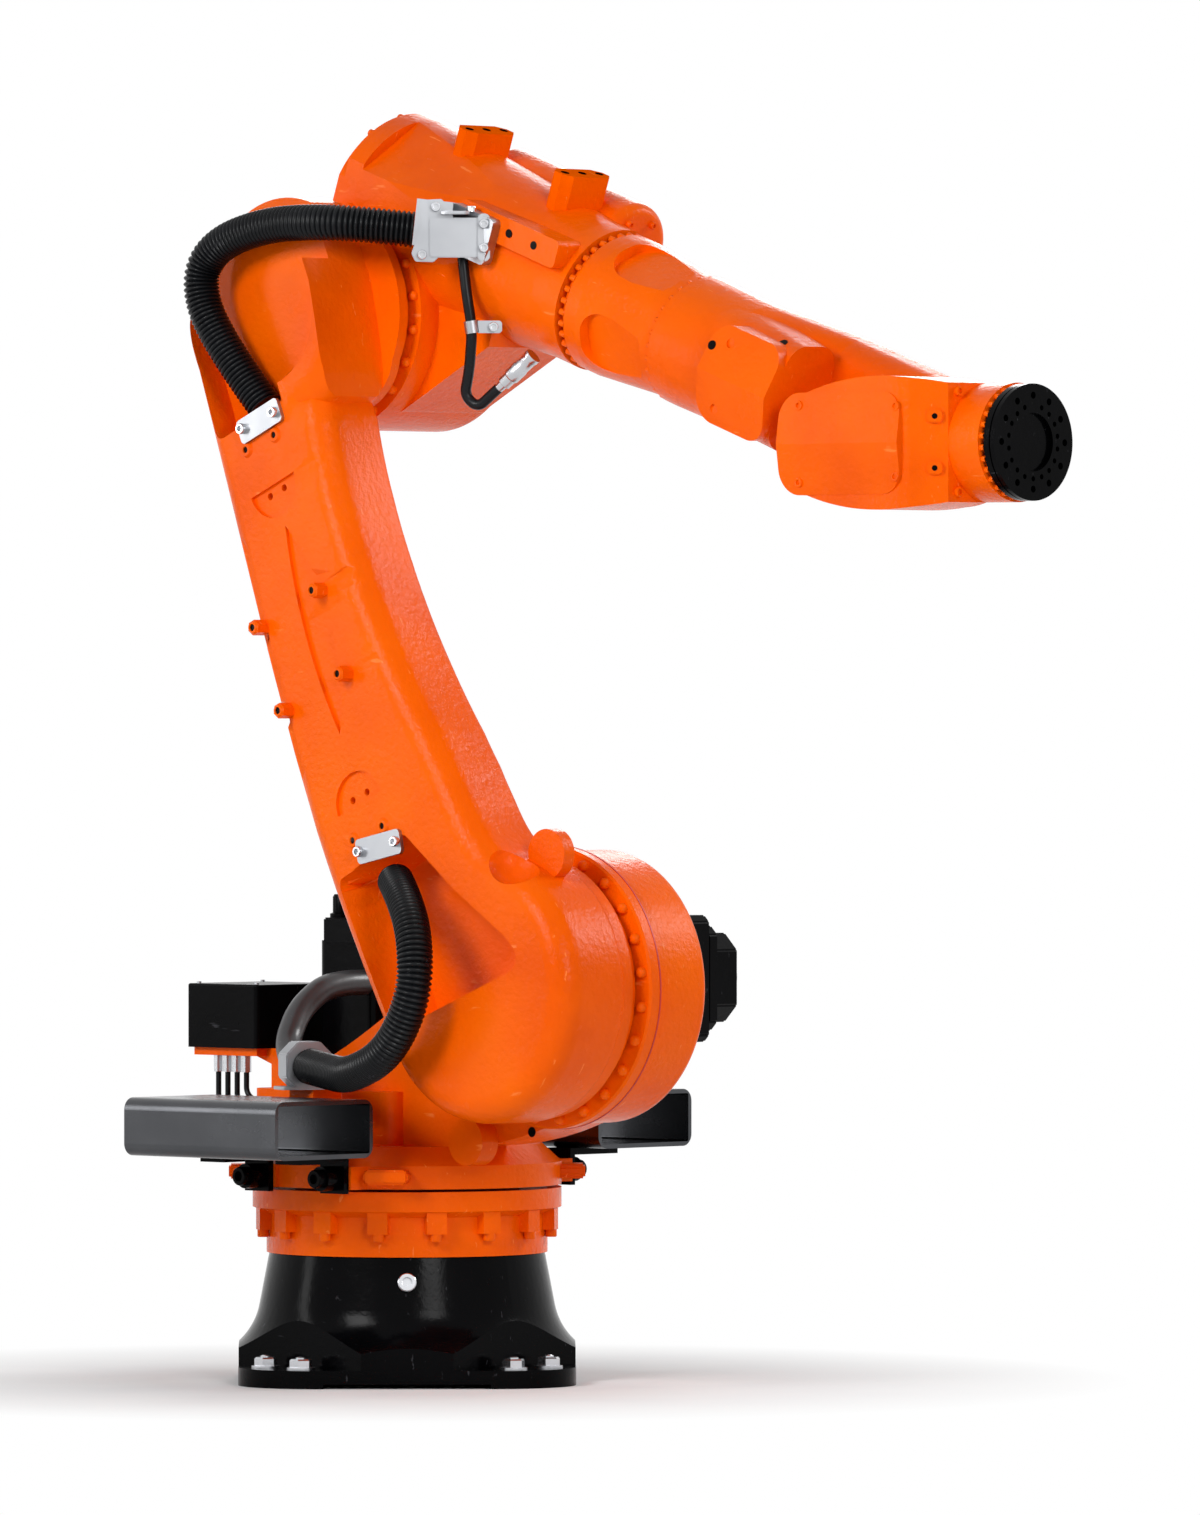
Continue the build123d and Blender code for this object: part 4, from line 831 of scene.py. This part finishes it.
plate(
    "clamp_bracket_flange", "elbow", "aluminium", facing(bracket_edge, clamp_face),
    oblong(width=0.022, height=0.084, cut=0.006), edge_depth, bevel=0.0012,
)
edge_spots = [bracket_edge + y * up + edge_depth * clamp_face for y in (0.024, -0.018)]
turned("bracket_side_screws", "elbow", "plated_steel", clamp_screw, aimed(edge_spots, clamp_face))
bracket_roof = bracket_place + roof_rise * up - roof_back * clamp_face
plate(
    "clamp_bracket_roof", "elbow", "aluminium", facing(bracket_roof, up, clamp_across),
    oblong(width=0.092, height=0.050, cut=0.008), roof_depth, bevel=0.001,
)
roof_spots = [bracket_roof + x * clamp_across + roof_depth * up for x in (-0.030, 0.028)]
turned("bracket_roof_screws", "elbow", "plated_steel", clamp_screw, aimed(roof_spots, up))

# Cable clip: a band round the thin cable with a tab, the tab's foot and its screw
clip_place = Vector((0.3095, -0.148, 1.872))
cable_run = Vector((0.006, 0.008, -0.062)).normalized()
clip_inner, clip_outer, clip_half = 0.0112, 0.0132, 0.011
clip_band = [
    (clip_inner, -clip_half), (clip_outer, -clip_half), (clip_outer, clip_half),
    (clip_inner, clip_half), (clip_inner, -clip_half),
]
clip_tab_shift, clip_tab_out = 0.030, 0.004
clip_screw_shift, clip_screw_out, clip_foot_back = 0.038, 0.007, 0.030
clip_tab = clip_place + clip_tab_shift * clamp_across + clip_tab_out * clamp_face
clip_tab_outline = oblong(width=0.046, height=0.022, cut=0.004)
clip_side = clip_place + clip_screw_shift * clamp_across
clip_foot = clip_side - clip_foot_back * clamp_face
clip_foot_outline = oblong(width=0.020, height=0.020, cut=0.004)
bm = bmesh.new()
lathe(bm, clip_band, seat(clip_place, cable_run), sides=28)
prism(bm, clip_tab_outline, facing(clip_tab, clamp_face), depth=0.003, bevel=0.0006)
prism(bm, clip_foot_outline, facing(clip_foot, clamp_face), depth=0.033, bevel=0.001)
cable_clip = piece("cable_clip_band", bm, "aluminium", "elbow")
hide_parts("cable_clip")
clip_screw = socket_cap(radius=0.0085, height=0.011)
clip_screw_place = clip_side + clip_screw_out * clamp_face
turned("clip_screw", "elbow", "plated_steel", clip_screw, [(clip_screw_place, clamp_face)])

# Plug under the elbow: a metal body with its nuts
connector_sides = 28
connector_start = Vector((0.338, -0.110, 1.764))
connector_run = Vector((0.072, 0.021, 0.061)).normalized()
connector_body = [
    (0.0, 0.0), (0.0085, 0.0), (0.0092, 0.012), (0.0125, 0.014), (0.0125, 0.030),
    (0.0145, 0.032), (0.0150, 0.034), (0.0150, 0.056), (0.0138, 0.058), (0.0138, 0.080),
    (0.0150, 0.082), (0.0150, 0.090), (0.0, 0.090),
]
plug_piece = turned(
    "plug_bodies", "elbow", "plated_steel", [(connector_body, connector_sides)],
    [(connector_start, connector_run)],
)
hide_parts("plug_connectors")

# Wrist: screws and drilled lugs of the pitch housing, with dark discs of painted shade in the
# lugs' bores
pitch_face = -0.149
pitch_spots = [
    wrist + Vector((x, pitch_face, z))
    for x, z in ((0.086, 0.062), (0.086, -0.058), (-0.140, 0.066), (-0.140, -0.066))
]
pitch_screw = socket_cap(radius=0.0085, height=0.007)
turned("pitch_cover_screws", "wrist_pitch", "orange_paint", pitch_screw, aimed(pitch_spots, near))
lug_out = Vector((0.61, -0.79, 0)).normalized()
lug_sunk, lug_bore_rise = 0.004, 0.0072
lug_spots = [wrist + Vector((0.1425, -0.1150, z)) for z in (0.0445, -0.0440)]
lug_outline = oblong(width=0.030, height=0.024, cut=0.006)
bm = bmesh.new()
for spot in lug_spots:
    prism(bm, lug_outline, facing(spot - lug_sunk * lug_out, lug_out), depth=0.011, bevel=0.002)
piece("pitch_lugs", bm, "orange_paint", "wrist_pitch")
lug_bores = aimed([spot + lug_bore_rise * lug_out for spot in lug_spots], lug_out)
# Dark discs of painted shade in the bores of the lugs
turned("pitch_lug_bores", "wrist_pitch", "black_plastic", shade_disc(radius=0.0048), lug_bores)

# Painted shade: dark discs in the bores of the side rail, mounting blocks, wrist and column;
# corner screws of the pitch ring
rail_spots = [Vector((0.3977, -0.145, 2.0346)), Vector((0.4585, -0.145, 2.012))]
rail_bore = shade_disc(radius=0.0075)
turned("rail_bores", "elbow", "black_plastic", rail_bore, aimed(rail_spots, near))
block_places, block_hole_pitch, block_top = (0.103, 0.354), 0.043, 0.19
block_spots = [
    on_arm(along, side * block_hole_pitch, block_top)
    for along in block_places for side in (-1, 0, 1)
]
block_bores = aimed(block_spots, roll_up)
# Painted shade in the blocks' bores, matt so that the dark discs don't mirror the lamps
bore_piece = turned("block_bores", "elbow", "black_plastic", shade_disc(radius=0.0075), block_bores)
bore_piece.data.materials[0] = finishes["matt_bore_shade"]
wrist_bores = (
    (Vector((0.885, -0.1393, 1.8297)), Vector((0.092, -0.961, 0.26))),
    (Vector((1.0108, -0.0938, 1.8317)), Vector((0.175, -0.591, 0.788))),
)
turned("wrist_bores", "wrist", "black_plastic", shade_disc(radius=0.0085), wrist_bores)
column_spot = Vector((0.4252, -0.115, 0.4564))
turned("column_bore", "carousel", "black_plastic", shade_disc(radius=0.009), [(column_spot, near)])
corner_spots = [Vector((1.405, -0.0798, z)) for z in (1.7429, 1.5708)]
corner_screw = socket_cap(radius=0.0085, height=0.008)
turned(
    "pitch_ring_screws", "wrist_pitch", "orange_paint", corner_screw, aimed(corner_spots, forward)
)

# Rear rim of the elbow: cap screws round the end plate, but for the near side
rim_back, rim_near = 0.070, -0.13
rim_place = roll_start - rim_back * roll_along
rim_spots = circle(rim_place, roll_along, roll_up, radius=0.1575, count=14, first=pi / 14)
rim_spots = [spot for spot in rim_spots if spot.y > rim_near]
rim_screw = socket_cap(radius=0.0075, height=0.009)
turned("rim_screws", "elbow", "orange_paint", rim_screw, aimed(rim_spots, -roll_along))

# Motor cover: cap screws on its front face
cover_middle = on_arm(along=0.428, y=0.098, rise=0.072)
cover_spots = circle(cover_middle, roll_along, roll_up, radius=0.058, count=6, first=pi / 6)
cover_screw = socket_cap(radius=0.0065, height=0.008)
turned("motor_cover_screws", "elbow", "orange_paint", cover_screw, aimed(cover_spots, roll_along))

# Connection box: lid screws, a little sunk in the lid
lid_margin, lid_sunk = 0.016, 0.0005
box_low, box_high = (Vector(corner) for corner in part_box("box_lid"))
lid_spots = [
    Vector((x, y, box_high.z - lid_sunk))
    for x in (box_low.x + lid_margin, box_high.x - lid_margin)
    for y in (box_low.y + lid_margin, box_high.y - lid_margin)
]
lid_screw = socket_cap(radius=0.0045, height=0.004)
turned("lid_screws", "carousel", "plated_steel", lid_screw, aimed(lid_spots, up))


def seen_rays(tree):
    """1 for camera, glossy and transmission rays, which see the white background."""
    path = tree.nodes.new("ShaderNodeLightPath")
    value = path.outputs["Is Camera Ray"]
    for ray in ("Is Glossy Ray", "Is Transmission Ray"):
        value = combined(tree, "MAXIMUM", value, path.outputs[ray])
    return value


# Floor: pale round the object with its shadow, and plain white further out, as the backdrop is
floor_size = 60
fade_range = {"From Min": 0.45, "From Max": 1.3}
floor_pale, tree, shader = drifting(
    "floor_pale", scale=2.5, low=(0.8, 0.8, 0.81), high=(0.84, 0.84, 0.84), roughness=0.8
)
coords = tree.nodes.new("ShaderNodeTexCoord")
distance = tree.nodes.new("ShaderNodeVectorMath")
distance.operation = "LENGTH"
tree.links.new(coords.outputs["Object"], distance.inputs[0])
fade = node(tree, "ShaderNodeMapRange", **fade_range)
tree.links.new(distance.outputs["Value"], fade.inputs["Value"])
share = combined(tree, "MULTIPLY", fade.outputs["Result"], seen_rays(tree))
white = node(tree, "ShaderNodeEmission", Color=(1, 1, 1, 1), Strength=1.0)
blend = tree.nodes.new("ShaderNodeMixShader")
tree.links.new(share, blend.inputs["Fac"])
tree.links.new(shader.outputs["BSDF"], blend.inputs[1])
tree.links.new(white.outputs["Emission"], blend.inputs[2])
tree.links.new(blend.outputs["Shader"], tree.nodes["Material Output"].inputs["Surface"])
floor_corners = [
    (x * floor_size, y * floor_size, 0) for x, y in ((-1, -1), (1, -1), (1, 1), (-1, 1))
]
floor_mesh = bpy.data.meshes.new("floor")
floor_mesh.from_pydata(floor_corners, [], [(0, 1, 2, 3)])
floor_mesh.materials.append(floor_pale)
floor = bpy.data.objects.new("floor", floor_mesh)
scene.collection.objects.link(floor)

# Studio: white to the camera, dim to the object, and five soft lamps
studio_range = {"To Min": 0.1, "To Max": 1.0}
world = bpy.data.worlds.new("studio")
world.use_nodes = True
scene.world = world
tree = world.node_tree
background = tree.nodes["Background"]
background.inputs["Color"].default_value = (1, 1, 1, 1)
strength = node(tree, "ShaderNodeMapRange", **studio_range)
tree.links.new(seen_rays(tree), strength.inputs["Value"])
tree.links.new(strength.outputs["Result"], background.inputs["Strength"])


def lamp(name, place, aim, size, power):
    """A soft rectangular studio lamp."""
    data = bpy.data.lights.new(name, "AREA")
    data.shape = "RECTANGLE"
    data.size, data.size_y = size
    data.energy = power
    made = bpy.data.objects.new(name, data)
    scene.collection.objects.link(made)
    made.location = place
    made.rotation_euler = towards(place, aim)


lamp("key", place=(0.6, -7.4, 4.8), aim=(0.4, -0.1, 1.3), size=(2.6, 2.6), power=370)
lamp("left_strip", place=(-5.0, -5.2, 2.6), aim=(0, -0.2, 1.3), size=(1.0, 3.2), power=70)
lamp("right_fill", place=(6.6, -3.0, 3.2), aim=(0.4, 0, 1.2), size=(2.0, 2.0), power=150)
lamp("right_sheen", place=(3.6, 5.4, 4.6), aim=(0.3, 0, 1.3), size=(2.4, 2.4), power=230)
lamp("left_sheen", place=(-4.2, 5.2, 4.4), aim=(0.3, 0, 1.6), size=(2.4, 2.4), power=110)
